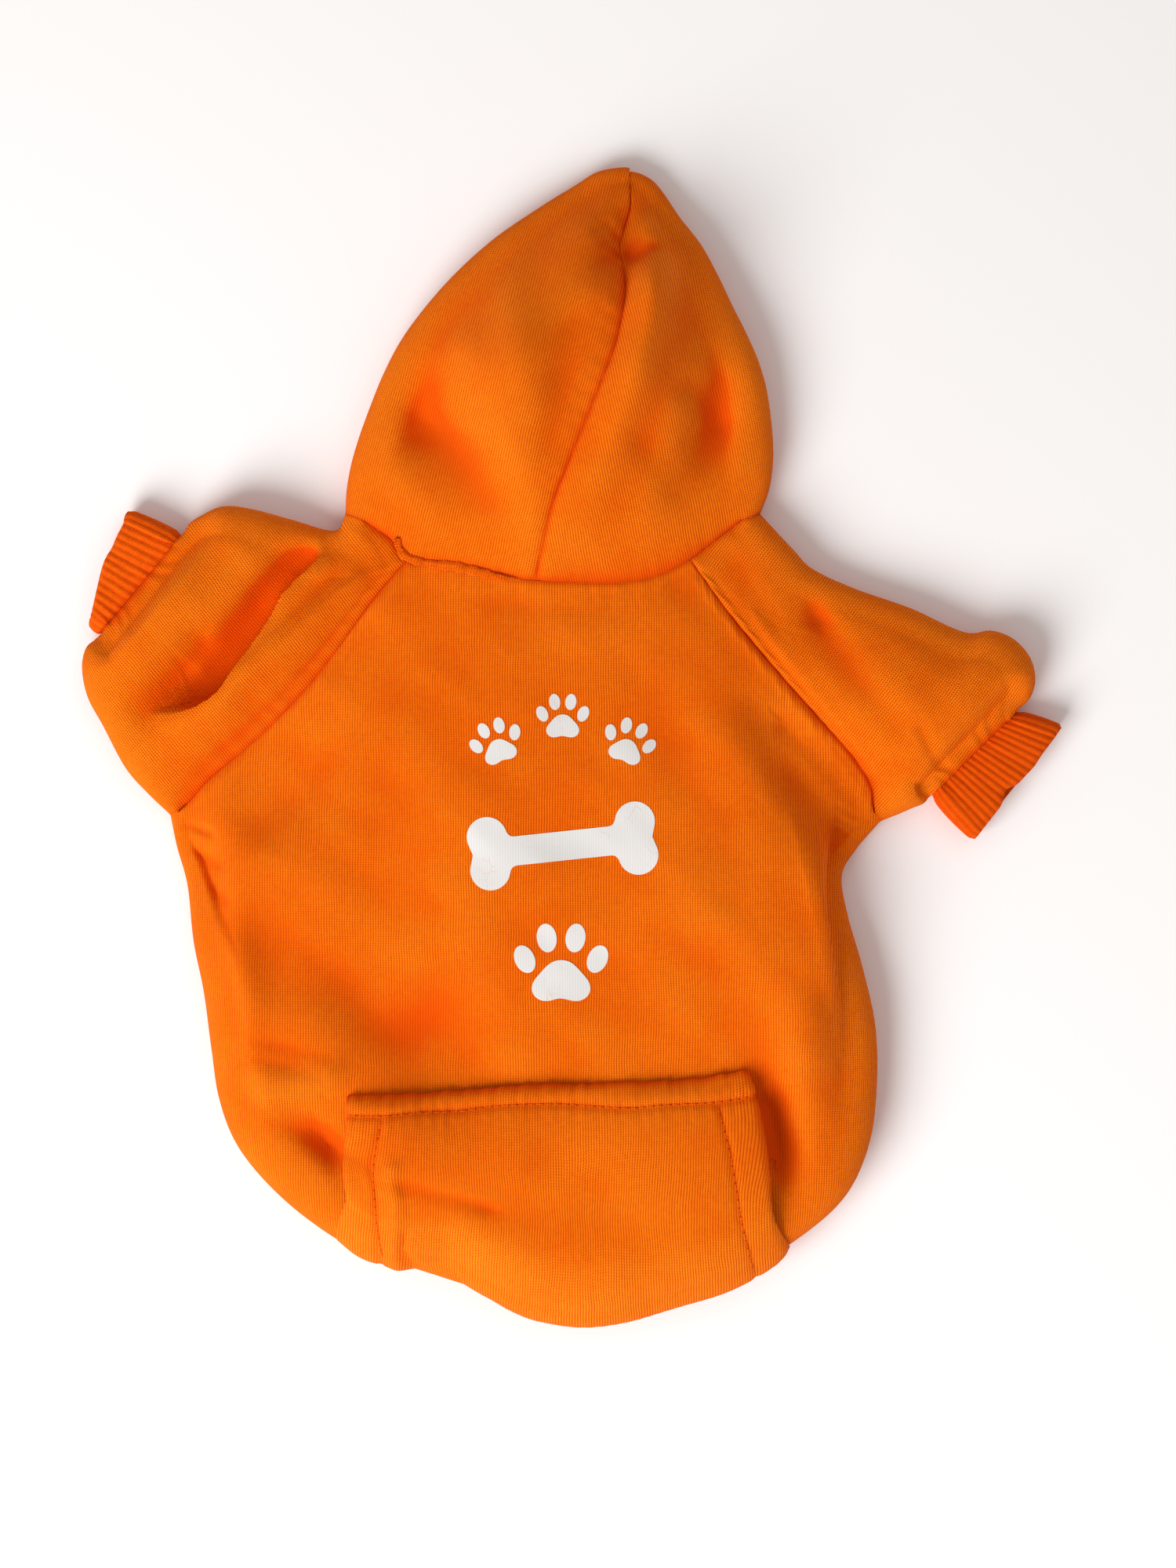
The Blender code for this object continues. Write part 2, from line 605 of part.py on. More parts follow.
class Body:
    """The back panel's grid: columns from the neck and raglan seams out over the fold."""

    def __init__(self, neck, raglans):
        left, right = raglans["left"], raglans["right"]
        back = np.concatenate([neck.back["left"][: NECK_STEPS["left"] + 1][::-1],
                               neck.back["right"][1 : NECK_STEPS["right"] + 1]])
        self.seam = np.concatenate([left.back[1:-1][::-1], back, right.back[1:-1]])
        self.columns = len(self.seam)
        outline = placed_line(BODY_OUTLINE, BODY_WIDTH, BODY_LENGTH)
        fine = smooth_line([left.fold] + outline + [right.fold], FOLD_SAMPLES)
        even = np.linspace(0.0, 1.0, self.columns)
        spread = even - UNDERARM_CROWDING * np.sin(2 * math.pi * even) / (2 * math.pi)
        self.fold = fine[np.round(spread * FOLD_SAMPLES).astype(int)]
        self.outward = outline_normals(self.fold, left.outward, right.outward)
        for c, wing in ((1, left), (self.columns - 2, right)):
            mixed = self.outward[c] + 0.5 * wing.outward
            self.outward[c] = mixed / np.linalg.norm(mixed)
        ends = np.minimum(np.arange(self.columns), self.columns - 1 - np.arange(self.columns))
        grown = smooth_step(ends / 6.0)
        self.radius = UNDERARM_FOLD + (BODY_FOLD - UNDERARM_FOLD) * grown
        self.tangent = self.fold - self.outward * self.radius[:, None]
        columns = np.arange(self.columns)
        lead, trail = POCKET_SIDES[0].left_column, POCKET_SIDES[0].right_column
        near = smooth_step((columns - lead + 4) / 3.0) * smooth_step((trail + 4 - columns) / 3.0)
        self.floor = (POCKET_SEAT + CLOTH + SEAM_GAP) * near
        hem = smooth_step((ends - 3.0) / 5.0)
        self.turn = np.where(ends > 0, SIDE_TURN * grown + (HEM_TURN - SIDE_TURN) * hem, 0.0)
        self.rim = self.tangent - self.outward * self.turn[:, None]
        self.rim[0], self.rim[-1] = left.front_leg, right.front_leg
        self.outer = self.grid()
        self.inner = self.inner_grid(left, right)

    def grid(self):
        columns = []
        lengths = np.linalg.norm(self.tangent - self.seam[:, :2], axis=1)
        for c in range(self.columns):
            top = []
            swell = BODY_RISE * min(1.0, lengths[c] / lengths.max() * 1.6)
            for a in np.linspace(0.0, 1.0, BACK_STEPS + 1):
                flat = (1 - a) * self.seam[c, :2] + a * self.tangent[c]
                level = (1 - a) * self.seam[c, 2] + a * (self.floor[c] + 2 * self.radius[c])
                level += swell * math.sin(math.pi * a) ** 1.4
                inside = 1 - (2 * a - 1) ** 6
                weight = inside * min(1.0, lengths[c] / (20 * MM))
                level += weight * relief_at(BODY_RELIEF, flat[0], flat[1], BODY_WIDTH, BODY_LENGTH)
                top.append([flat[0], flat[1], level])
            arc, _ = fold_arc(self.tangent[c], self.outward[c], self.radius[c], self.floor[c])
            tail = []
            for k in range(1, TAIL_STEPS + 1):
                flat = self.tangent[c] + (self.rim[c] - self.tangent[c]) * k / TAIL_STEPS
                tail.append([flat[0], flat[1], self.floor[c] if k < TAIL_STEPS else 0.0])
            columns.append(np.concatenate([top, arc[1:], tail]))
        return np.array(columns).transpose(1, 0, 2)

    def inner_grid(self, left, right):
        inner = wall_side(self.outer, CLOTH)
        inner[0] = walled(self.outer[0], True)
        inner[-1] = walled(self.outer[-1], False)
        for c, wing in ((0, left), (-1, right)):
            inner[: BACK_STEPS + 1, c] = walled(self.outer[: BACK_STEPS + 1, c], True)
            inner[BACK_STEPS : BACK_STEPS + ARC_STEPS + 1, c] = wing.arc[1]
            inner[BACK_STEPS + ARC_STEPS :, c] = walled(self.outer[BACK_STEPS + ARC_STEPS :, c], False)
        return inner

    def lifted(self, row, column, lift):
        """A point over the back panel at a row and column that may lie between its own."""
        r0 = min(int(row), self.outer.shape[0] - 2)
        c0 = min(int(column), self.columns - 2)
        fr, fc = row - r0, column - c0
        point, wall = 0.0, 0.0
        for dr, wr in ((0, 1 - fr), (1, fr)):
            for dc, wc in ((0, 1 - fc), (1, fc)):
                point = point + wr * wc * self.outer[r0 + dr, c0 + dc]
                wall = wall + wr * wc * (self.outer - self.inner)[r0 + dr, c0 + dc]
        return point + wall / np.linalg.norm(wall) * lift


def back_panel(body, material):
    add_solid("back_panel", body.outer, body.inner, material)


def side_seam(body, side):
    columns = range(0, SIDE_SEAM_COLUMNS + 1)
    if side == "right":
        columns = [body.columns - 1 - c for c in columns]
    return np.array([body.rim[c] for c in columns])


def belly_panel(neck, raglans, body, material):
    """A flat sheet under the chest, from the throat to the shorter belly hem."""
    rails = {}
    for side, towards_middle in (("left", 1.0), ("right", -1.0)):
        raglan = raglans[side].front[::-1][:-1, :2]
        seam = side_seam(body, side)
        rail = np.concatenate([raglan, seam[1:]])
        rail[:, 0] += towards_middle * 2 * SEAM_GAP
        rails[side] = rail
    throat = placed(THROAT, NECK_WIDTH, NECK_SAG)
    top = smooth_line([rails["left"][0], throat, rails["right"][0]], BELLY_STEPS)
    rows = []
    steps = len(rails["left"])
    for i in range(steps):
        ways = np.linspace(0.0, 1.0, BELLY_STEPS + 1)[:, None]
        row = (1 - ways) * rails["left"][i] + ways * rails["right"][i]
        straight = (1 - ways) * rails["left"][0] + ways * rails["right"][0]
        row += (top - straight) * max(0.0, 1 - 3 * i / steps) ** 2
        rows.append(row)
    rows[0][:, 1] -= 2 * SEAM_GAP
    outer = np.array([raised(row, np.zeros(len(row))) for row in rows])
    add_solid("belly_panel", outer, walled(outer, False), material)
    return outer[-1]


def hood_panel(side, neck, material):
    """One half of the hood: from the back seam over the side fold to the face rim."""
    inward = 1.0 if side == "left" else -1.0
    foot = neck.back[side][0]
    seam = placed_line([Point(p.across, -p.down) for p in HOOD_SEAM[1:]], HOOD_WIDTH, HOOD_LENGTH)
    seam = smooth_line([foot[:2]] + seam, HOOD_STEPS)
    edge = placed_line([Point(p.across, -p.down) for p in HOOD_SIDE[side]], HOOD_WIDTH, HOOD_LENGTH)
    edge = smooth_line([neck.corner[side]] + edge, HOOD_STEPS)
    rim = placed_line([Point(p.across, -p.down) for p in FACE_RIM[side]], HOOD_WIDTH, HOOD_LENGTH)
    rim = smooth_line([neck.front[side][-1][:2]] + rim, HOOD_STEPS)
    outward = outline_normals(edge) * -inward
    outward[0], outward[-1] = neck.outward[side], np.array([0.0, 1.0])
    outward[1] = outward[1] + 0.35 * outward[0]
    outward /= np.linalg.norm(outward, axis=1)[:, None]
    flat_steps = len(neck.back[side]) - 1
    tail_steps = len(neck.front[side]) - 1
    shares = np.linspace(0.0, 1.0, flat_steps + 1)
    tail_shares = np.linspace(0.0, 1.0, tail_steps + 1)
    outer, inner_arcs = [], []
    for i in range(HOOD_STEPS + 1):
        way = i / HOOD_STEPS
        radius = HOOD_FOLD * column_of(HOOD_SECTIONS, "fold", way)
        radius = NECK_FOLD if i == 0 else TIP_FOLD if i == HOOD_STEPS else radius
        tangent = edge[i] - outward[i] * radius
        if i == HOOD_STEPS:
            tangent[0] = seam[i][0]
        ridge = HOOD_HEIGHT * column_of(HOOD_SECTIONS, "seam", way)
        swell = HOOD_HEIGHT * column_of(HOOD_SECTIONS, side + "_swell", way)
        follow = max(0.0, 1 - 3.0 * way) ** 2
        top = []
        for k, s in enumerate(shares):
            flat = (1 - s) * seam[i] + s * tangent
            chord = (1 - s) * foot[:2] + s * neck.tangent[side]
            flat = flat + (neck.back[side][k, :2] - chord) * follow
            level = (1 - s) * ridge + s * 2 * radius + swell * math.sin(math.pi * s) ** 1.2
            weight = (1 - (2 * s - 1) ** 8) * min(1.0, 4 * way, 6 * (1 - way))
            level += weight * relief_at(HOOD_RELIEF, flat[0], flat[1], HOOD_WIDTH, HOOD_LENGTH, True)
            top.append([flat[0], flat[1], level])
        arc, inner_arc = fold_arc(tangent, outward[i], radius)
        tail = []
        for k, s in enumerate(tail_shares[1:], 1):
            flat = (1 - s) * tangent + s * rim[i]
            chord = (1 - s) * neck.tangent[side] + s * rim[0]
            flat = flat + (neck.front[side][k, :2] - chord) * follow
            tail.append([flat[0], flat[1], 0.0])
        outer.append(np.concatenate([top, arc[1:], tail]))
        inner_arcs.append(inner_arc)
    outer = np.array(outer)
    outer[0, : flat_steps + 1] = neck.back[side]
    outer[0, flat_steps + ARC_STEPS :] = neck.front[side]
    inner = wall_side(outer, CLOTH)
    for i in (0, HOOD_STEPS):
        inner[i, : flat_steps + 1] = walled(outer[i, : flat_steps + 1], True)
        inner[i, flat_steps : flat_steps + ARC_STEPS + 1] = inner_arcs[i]
        inner[i, flat_steps + ARC_STEPS :] = walled(outer[i, flat_steps + ARC_STEPS :], False)
    inner[:, 0] = walled(outer[:, 0], True)
    inner[:, -1] = walled(outer[:, -1], False)
    for k in range(1, flat_steps):
        limit = inward * outer[:, 0, 0] - k * SEAM_GAP / 1.5
        inner[:, k, 0] = inward * np.minimum(inward * inner[:, k, 0], limit)
    for grid in (outer, inner):
        grid[0, :, 1] += SEAM_GAP
        grid[:, 0, 0] -= inward * SEAM_GAP / 2
        grid[-1, :, 0] -= inward * SEAM_GAP / 2
        grid[0, -1, 0] -= inward * SEAM_GAP / 2
    grid_name = "hood_" + side
    add_solid(grid_name, outer, inner, material)


def sleeve(side, neck, raglan, material):
    """A raglan sleeve as a tube of sections from the shoulder seam to its cuff seam."""
    sections = SLEEVE_SECTIONS[side]
    outside = -1.0 if side == "left" else 1.0
    shoulder = neck.back[side][NECK_STEPS[side] :][::-1]
    first_top = np.concatenate([shoulder, raglan.back[1:]])
    front = neck.front[side][: FRONT_SHOULDER_STEPS + 1][::-1]
    first_bottom = np.concatenate([raglan.front, front[1:]])
    rails = {}
    for name, table, start in (("upper", SLEEVE_UPPER, neck.corner[side]), ("lower", SLEEVE_LOWER, raglan.fold)):
        line = placed_line(table[side], SLEEVE_REACH, SLEEVE_REACH, start)
        fine = smooth_line([start] + line, OUTLINE_SAMPLES)
        picked = [int(round(OUTLINE_SAMPLES * getattr(row, name))) for row in sections]
        rails[name] = fine[picked]
        rails[name + "_out"] = eased_normals(fine, -outside if name == "upper" else outside)[picked]
    end = rails["upper"][-1] - rails["lower"][-1]
    end /= np.linalg.norm(end)
    rails["upper_out"][0], rails["lower_out"][0] = neck.outward[side], raglan.outward
    rails["upper_out"][-1], rails["lower_out"][-1] = end, -end
    top_ways = np.linspace(0.0, 1.0, len(first_top))
    bottom_ways = np.linspace(0.0, 1.0, len(first_bottom))
    tops, arcs_lower, bottoms, arcs_upper = [], [], [], []
    for i, row in enumerate(sections):
        high, low = SLEEVE_FOLD * row.upper_fold, SLEEVE_FOLD * row.lower_fold
        if i == len(sections) - 1:
            high, low = CUFF_FOLD, CUFF_FOLD
        upper = rails["upper"][i] - rails["upper_out"][i] * high
        lower = rails["lower"][i] - rails["lower_out"][i] * low
        follow = (1 - row.way) ** 2
        top = []
        for k, s in enumerate(top_ways):
            chord = (1 - s) * first_top[0, :2] + s * first_top[-1, :2]
            flat = (1 - s) * upper + s * lower + (first_top[k, :2] - chord) * follow
            level = 2 * ((1 - s) * high + s * low)
            level += SLEEVE_RISE * row.rise * math.sin(math.pi * s) ** 1.1
            level += max(0.0, first_top[k, 2] - level) * max(0.0, 1 - 2 * row.way)
            weight = (1 - (2 * s - 1) ** 8) * min(1.0, 6 * row.way, 6 * (1 - row.way))
            relief = relief_at(SLEEVE_RELIEF[side], flat[0], flat[1], BODY_WIDTH, BODY_LENGTH)
            strength = np.interp(s, TUCK_ALONG["station"], TUCK_ALONG["strength"])
            level += weight * relief - TUCK_DEPTH * row.tuck * strength
            top.append([flat[0], flat[1], level])
        bottom = []
        for k, s in enumerate(bottom_ways):
            chord = (1 - s) * first_bottom[0, :2] + s * first_bottom[-1, :2]
            flat = (1 - s) * lower + s * upper + (first_bottom[k, :2] - chord) * follow
            bottom.append([flat[0], flat[1], 0.0])
        tops.append(np.array(top) if i else first_top)
        bottoms.append(np.array(bottom) if i else first_bottom)
        arcs_upper.append(fold_arc(upper, rails["upper_out"][i], high))
        arcs_lower.append(fold_arc(lower, rails["lower_out"][i], low))
    arcs_upper[0], arcs_lower[0] = neck.arc[side], raglan.arc
    outer = np.array(
        [
            np.concatenate([tops[i], arcs_lower[i][0][1:-1], bottoms[i], arcs_upper[i][0][::-1][1:-1]])
            for i in range(len(sections))
        ]
    )
    inner = wall_side(outer, CLOTH, wrap=True)
    for i in (0, len(sections) - 1):
        inner[i] = ring_inner(tops[i], arcs_lower[i][1], bottoms[i], arcs_upper[i][1])
    for grid in (outer, inner):
        grid[0, :, 0] += outside * SEAM_GAP * 1.4
        grid[0, :, 1] -= SEAM_GAP * 0.4
    add_solid("sleeve_" + side, outer, inner, material, wrap=True)
    return tops[-1], arcs_lower[-1], bottoms[-1], arcs_upper[-1]


def ring_inner(top, lower_arc, bottom, upper_arc):
    """The inner loop of a sleeve's end section, with upright edges at its seam."""
    return np.concatenate(
        [walled(top, True), lower_arc[1:-1], walled(bottom, False), upper_arc[::-1][1:-1]]
    )


def halved(ring):
    """The ring with one more point in the middle of each side."""
    middles = (ring + np.roll(ring, -1, axis=0)) / 2
    return np.stack([ring, middles], axis=1).reshape(-1, 3)


def cuff(side, neck, raglan, sleeve_end, material):
    """A ribbed cuff: it starts at the sleeve's end section and opens at the paw."""
    top, lower_arc, bottom, upper_arc = sleeve_end
    upper_mouth = placed(CUFF_MOUTH[side][0], SLEEVE_REACH, SLEEVE_REACH, neck.corner[side])
    lower_mouth = placed(CUFF_MOUTH[side][1], SLEEVE_REACH, SLEEVE_REACH, raglan.fold)
    out = upper_mouth - lower_mouth
    out /= np.linalg.norm(out)
    upper, lower = upper_mouth - out * CUFF_FOLD, lower_mouth + out * CUFF_FOLD
    top_ways = np.linspace(0.0, 1.0, len(top))[:, None]
    bottom_ways = np.linspace(0.0, 1.0, len(bottom))[:, None]
    end_top = raised((1 - top_ways) * upper + top_ways * lower, np.full(len(top), 2 * CUFF_FOLD))
    end_bottom = raised((1 - bottom_ways) * lower + bottom_ways * upper, np.zeros(len(bottom)))
    end_upper, end_lower = fold_arc(upper, out, CUFF_FOLD), fold_arc(lower, -out, CUFF_FOLD)
    first = np.concatenate([top, lower_arc[0][1:-1], bottom, upper_arc[0][::-1][1:-1]])
    last = np.concatenate([end_top, end_lower[0][1:-1], end_bottom, end_upper[0][::-1][1:-1]])
    first_in = ring_inner(top, lower_arc[1], bottom, upper_arc[1])
    last_in = ring_inner(end_top, end_lower[1], end_bottom, end_upper[1])
    along = top[0] - top[-1]
    forward = np.array([-along[1], along[0], 0.0]) / np.linalg.norm(along)
    forward *= np.sign(forward[:2] @ (upper_mouth - top[0, :2]))
    outer, inner = [], []
    for i in range(CUFF_WALL_STEPS + 1):
        way = i / CUFF_WALL_STEPS
        ring = halved((1 - way) * first + way * last) + forward * SEAM_GAP * 1.5 * (1 - way)
        ring_in = halved((1 - way) * first_in + way * last_in) + forward * SEAM_GAP * 1.5 * (1 - way)
        ring[1::2] += (ring_in[1::2] - ring[1::2]) * RIB_DEPTH / CLOTH
        outer.append(ring)
        inner.append(ring_in)
    add_solid("cuff_" + side, np.array(outer), np.array(inner), material, wrap=True)


def hem_band(body, belly_hem, material):
    """A flat ribbed ring round the waist opening, sewn to the belly hem and the back's rim."""
    columns = range(SIDE_SEAM_COLUMNS, body.columns - SIDE_SEAM_COLUMNS)
    rim = np.array([[*body.rim[c], 0.0] for c in columns])
    loop = np.concatenate([rim, belly_hem[::-1][1:-1]])
    middle = (loop.min(axis=0) + loop.max(axis=0)) / 2
    half = (loop.max(axis=0) - loop.min(axis=0))[:2] / 2
    parts = []
    for a, b in zip(loop, np.roll(loop, -1, axis=0)):
        for k in range(BAND_SPLIT):
            parts.append(a + (b - a) * k / BAND_SPLIT)
    loop = np.array(parts)
    outer_edge, inner_edge = loop.copy(), loop.copy()
    for edge, width in ((outer_edge, 3 * SEAM_GAP), (inner_edge, HEM_BAND)):
        edge[:, :2] = middle[:2] + (loop[:, :2] - middle[:2]) * (1 - width / half)
    ridge = np.where(np.arange(len(loop)) % 2 == 0, 0.0, RIB_DEPTH)[:, None]
    up = np.array([0.0, 0.0, 1.0])
    under = np.array([outer_edge + ridge * up, inner_edge + ridge * up])
    over = np.array([edge + (RIB_CLOTH - ridge) * up for edge in (outer_edge, inner_edge)])
    add_solid("hem_band", under, over, material, wrap=True)


def pocket(body, material):
    """A patch over the tail of the back panel: sewn on at its top, open at both sides."""
    first, last = POCKET_SIDES[0], POCKET_SIDES[-1]
    inner_columns = list(range(math.ceil(first.left_column + 0.4), math.floor(last.right_column) + 1))
    inner_columns = [c for c in inner_columns if c < first.right_column - 0.2]
    rows_flat = np.linspace(0.0, 1.0, POCKET_FLAT_STEPS + 1)
    total = POCKET_FLAT_STEPS + ARC_STEPS + 1
    outer, inner = [], []
    for i in range(total + 1):
        way = i / total
        downs = [p.way_down for p in POCKET_SIDES]
        left = np.interp(way, downs, [p.left_column for p in POCKET_SIDES])
        right = np.interp(way, downs, [p.right_column for p in POCKET_SIDES])
        line_out, line_in = [], []
        for c in [left] + inner_columns + [right]:
            share = (c - left) / (right - left)
            top = np.interp(share, [0.0, 0.5, 1.0], [POCKET_TOP[k] for k in ("left", "middle", "right")])
            if i <= POCKET_FLAT_STEPS:
                row = (top + (1 - top) * rows_flat[i]) * BACK_STEPS
            else:
                row = BACK_STEPS + min(i - POCKET_FLAT_STEPS, ARC_STEPS)
            swell = math.sin(math.pi * min(1.0, i / (POCKET_FLAT_STEPS + 1))) ** 0.9
            lift = POCKET_SEAT + POCKET_DEPTH * swell
            point, wall = body.lifted(row, c, lift), body.lifted(row, c, lift + CLOTH)
            if i == total:
                c0 = min(int(c), body.columns - 2)
                inward = -body.outward[c0] * (1 - c + c0) - body.outward[c0 + 1] * (c - c0)
                step = np.array([*inward, 0.0]) * POCKET_TURN
                point, wall = point + step, wall + step
            line_in.append(point)
            line_out.append(wall)
        outer.append(line_out)
        inner.append(line_in)
    add_solid("pocket", np.array(outer), np.array(inner), material)


def centre_on_origin():
    """Moves every piece so that the hoodie's box is centred and its lowest point is at z 0."""
    parts = [part for part in bpy.data.objects if part.type == "MESH"]
    corners = np.array([v.co for part in parts for v in part.data.vertices])
    low, high = corners.min(axis=0), corners.max(axis=0)
    shift = np.array([-(low[0] + high[0]) / 2, -(low[1] + high[1]) / 2, -low[2]])
    for part in parts:
        for vertex in part.data.vertices:
            vertex.co = [float(a + b) for a, b in zip(vertex.co, shift)]


def main():
    for old in list(bpy.data.objects):
        bpy.data.objects.remove(old)
    fleece = new_material("fleece", ORANGE, 0.85)
    ribbing = new_material("ribbing", RIB_ORANGE, 0.85)
    neck = Neck()
    raglans = {side: Raglan(side, neck) for side in ("left", "right")}
    body = Body(neck, raglans)
    back_panel(body, fleece)
    belly_hem = belly_panel(neck, raglans, body, fleece)
    hem_band(body, belly_hem, ribbing)
    pocket(body, fleece)
    for side in ("left", "right"):
        hood_panel(side, neck, fleece)
        sleeve_end = sleeve(side, neck, raglans[side], fleece)
        cuff(side, neck, raglans[side], sleeve_end, ribbing)
    centre_on_origin()


main()
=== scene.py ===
# Dog hoodie lying back up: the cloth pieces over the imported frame, with their folds, seams,
# ribs, stitches and print. Metres, +Z up, +Y from tail to hood.
import math

import bmesh
import bpy
import numpy as np
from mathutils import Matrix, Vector
from mathutils.bvhtree import BVHTree


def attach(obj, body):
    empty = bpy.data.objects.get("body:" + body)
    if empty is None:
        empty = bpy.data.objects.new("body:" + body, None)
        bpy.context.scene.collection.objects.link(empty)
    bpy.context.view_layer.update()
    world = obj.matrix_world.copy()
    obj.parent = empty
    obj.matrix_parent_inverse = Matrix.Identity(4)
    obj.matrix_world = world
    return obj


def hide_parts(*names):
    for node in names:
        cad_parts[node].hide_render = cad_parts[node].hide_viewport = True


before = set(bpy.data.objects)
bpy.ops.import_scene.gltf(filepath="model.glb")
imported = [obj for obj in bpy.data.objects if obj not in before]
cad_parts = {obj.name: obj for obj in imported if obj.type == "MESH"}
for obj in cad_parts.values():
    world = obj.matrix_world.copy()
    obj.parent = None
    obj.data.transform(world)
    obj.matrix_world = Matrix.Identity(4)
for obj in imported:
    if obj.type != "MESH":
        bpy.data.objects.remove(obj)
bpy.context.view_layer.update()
print("frame loaded:", ", ".join(sorted(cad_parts)))

mm = 0.001
frameShift = np.array([-6.644 * mm, 74.308 * mm, 0.0])  # from the neck's middle to the frame's origin
photoPlace = {"neckX": 705, "neckY": 655, "pixel": 0.25 * mm}
fineness = 9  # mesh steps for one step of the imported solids

cloth = {
    "fleece": 2.2 * mm,
    "rib": 2.4 * mm,
    "gap": 0.04 * mm,
    # how it rolls down into a seam, and the low swell beside that
    "dip": 1.0 * mm,
    "dipReach": 1.3 * mm,
    "dipShape": 1.6,
    "swell": 0.35 * mm,
    "swellAway": 5.2 * mm,
    "swellReach": 2.6 * mm,
}
solidGap = 0.3 * mm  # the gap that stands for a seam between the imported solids
fullestCut = 0.85  # the most of its rectangle that a cut piece fills


def fromPhoto(*pixels):
    # places in the photograph as metres from the neck's middle
    neckX, neckY, pixel = (photoPlace[key] for key in ("neckX", "neckY", "pixel"))
    return [np.array([(x - neckX) * pixel, (neckY - y) * pixel]) for x, y in pixels]


# ---- lines and grids


def placed(point, width, length, origin=(0.0, 0.0)):
    return np.array([origin[0] + point[0] * width, origin[1] - point[1] * length])


def placedLine(points, width, length, origin=(0.0, 0.0)):
    return [placed(point, width, length, origin) for point in points]


def heading(degrees):
    return np.array([math.cos(math.radians(degrees)), math.sin(math.radians(degrees))])


def onTurnedAxes(x, y, degrees):
    c, s = heading(degrees)
    return x * c + y * s, y * c - x * s


def between(first, last, way):
    way = np.asarray(way)[..., None]
    return (1 - way) * first + way * last


def bell(distance, width):
    return np.exp(-((distance / width) ** 2))


def fromEnds(count):
    # how many places each one of a row lies from the row's nearer end
    return np.minimum(np.arange(count), count - 1 - np.arange(count))


def runningMean(values, reach):
    window = 2 * reach + 1
    return np.convolve(np.pad(values, reach, "edge"), np.ones(window) / window, "valid")


def reachedAlong(line):
    return np.concatenate([[0.0], np.cumsum(np.linalg.norm(np.diff(line, axis=0), axis=1))])


def readLine(line, ways, wanted):
    # the line's places at the wanted ways, where its own points lie at the given ways
    return np.stack([np.interp(wanted, ways, line[:, k]) for k in range(line.shape[1])], axis=-1)


def respaced(line, count):
    line = np.array(line, float)
    reached = reachedAlong(line)
    return readLine(line, reached, np.linspace(0.0, reached[-1], count + 1))


def lengthened(line):
    # the line with one more step straight on at each end
    return [2 * line[0] - line[1], *line, 2 * line[-1] - line[-2]]


def smoothLine(points, count):
    p = np.vstack(lengthened(np.array(points, float)))
    t = np.linspace(0.0, 1.0, 40, endpoint=False)[:, None]
    fine = []
    for i in range(1, len(p) - 2):
        before, here, ahead, after = p[i - 1], p[i], p[i + 1], p[i + 2]
        fine.append(
            0.5
            * (
                2 * here
                + (ahead - before) * t
                + (2 * before - 5 * here + 4 * ahead - after) * t**2
                + (3 * here - before - 3 * ahead + after) * t**3
            )
        )
    return respaced(np.vstack([*fine, p[-2]]), count)


def smoothStep(x):
    x = np.clip(x, 0.0, 1.0)
    return x * x * (3 - 2 * x)


def smoothTable(ways, values, wanted):
    # a smooth curve through a table's values that doesn't swing past them
    ways, values, wanted = (np.asarray(a, float) for a in (ways, values, wanted))
    slopes = np.diff(values) / np.diff(ways)
    bends = np.zeros(len(values))
    same = slopes[:-1] * slopes[1:] > 0
    bends[1:-1][same] = 2 / (1 / slopes[:-1][same] + 1 / slopes[1:][same])
    bends[0], bends[-1] = slopes[0], slopes[-1]
    cell = np.clip(np.searchsorted(ways, wanted, side="right") - 1, 0, len(ways) - 2)
    width = ways[cell + 1] - ways[cell]
    t = (wanted - ways[cell]) / width
    return (
        values[cell] * (1 + 2 * t) * (1 - t) ** 2
        + bends[cell] * width * t * (1 - t) ** 2
        + values[cell + 1] * t * t * (3 - 2 * t)
        + bends[cell + 1] * width * t * t * (t - 1)
    )


def unit(vectors):
    return vectors / np.maximum(np.linalg.norm(vectors, axis=-1, keepdims=True), 1e-12)


def lineNormals(line):
    slopes = np.gradient(line, axis=0)
    return unit(np.stack([slopes[:, 1], -slopes[:, 0]], axis=1))


def easedNormals(line, sense, window):
    normals = lineNormals(line) * sense
    padded = np.pad(normals, ((window, window), (0, 0)), "edge")
    sums = np.concatenate([np.zeros((1, 2)), np.cumsum(padded, axis=0)])
    return unit(sums[2 * window + 1 :] - sums[: -2 * window - 1])


def foldArc(tangent, outward, radius, steps, floor=0.0, thick=cloth["fleece"]):
    # the half circle where cloth turns under: outer points, inner points, and their weave places
    angles = math.pi / 2 - math.pi * np.arange(steps + 1) / steps
    outer, inner, weave = [], [], []
    for angle in angles:
        for points, r in ((outer, radius), (inner, radius - thick)):
            flat = tangent + outward * r * math.cos(angle)
            points.append([flat[0], flat[1], floor + radius + r * math.sin(angle)])
        weave.append(tangent + outward * radius * (math.pi / 2 - abs(angle)))
    return np.array(outer), np.array(inner), np.array(weave)


def raised(line, heights):
    return np.column_stack([line, np.broadcast_to(heights, len(line))])


def gridNormals(outer, wrap=False):
    padded = np.concatenate([outer[:, -1:], outer, outer[:, :1]], axis=1) if wrap else outer
    across = np.gradient(padded, axis=1)
    across = across[:, 1:-1] if wrap else across
    normals = unit(np.cross(np.gradient(outer, axis=0), across))
    height = outer[:, :, 2] - outer[:, :, 2].mean()
    return normals * np.sign(np.sum(normals[:, :, 2] * height))


def onTop(line):
    return line - np.array([0.0, 0.0, cloth["fleece"]])


def below(line):
    return line + np.array([0.0, 0.0, cloth["fleece"]])


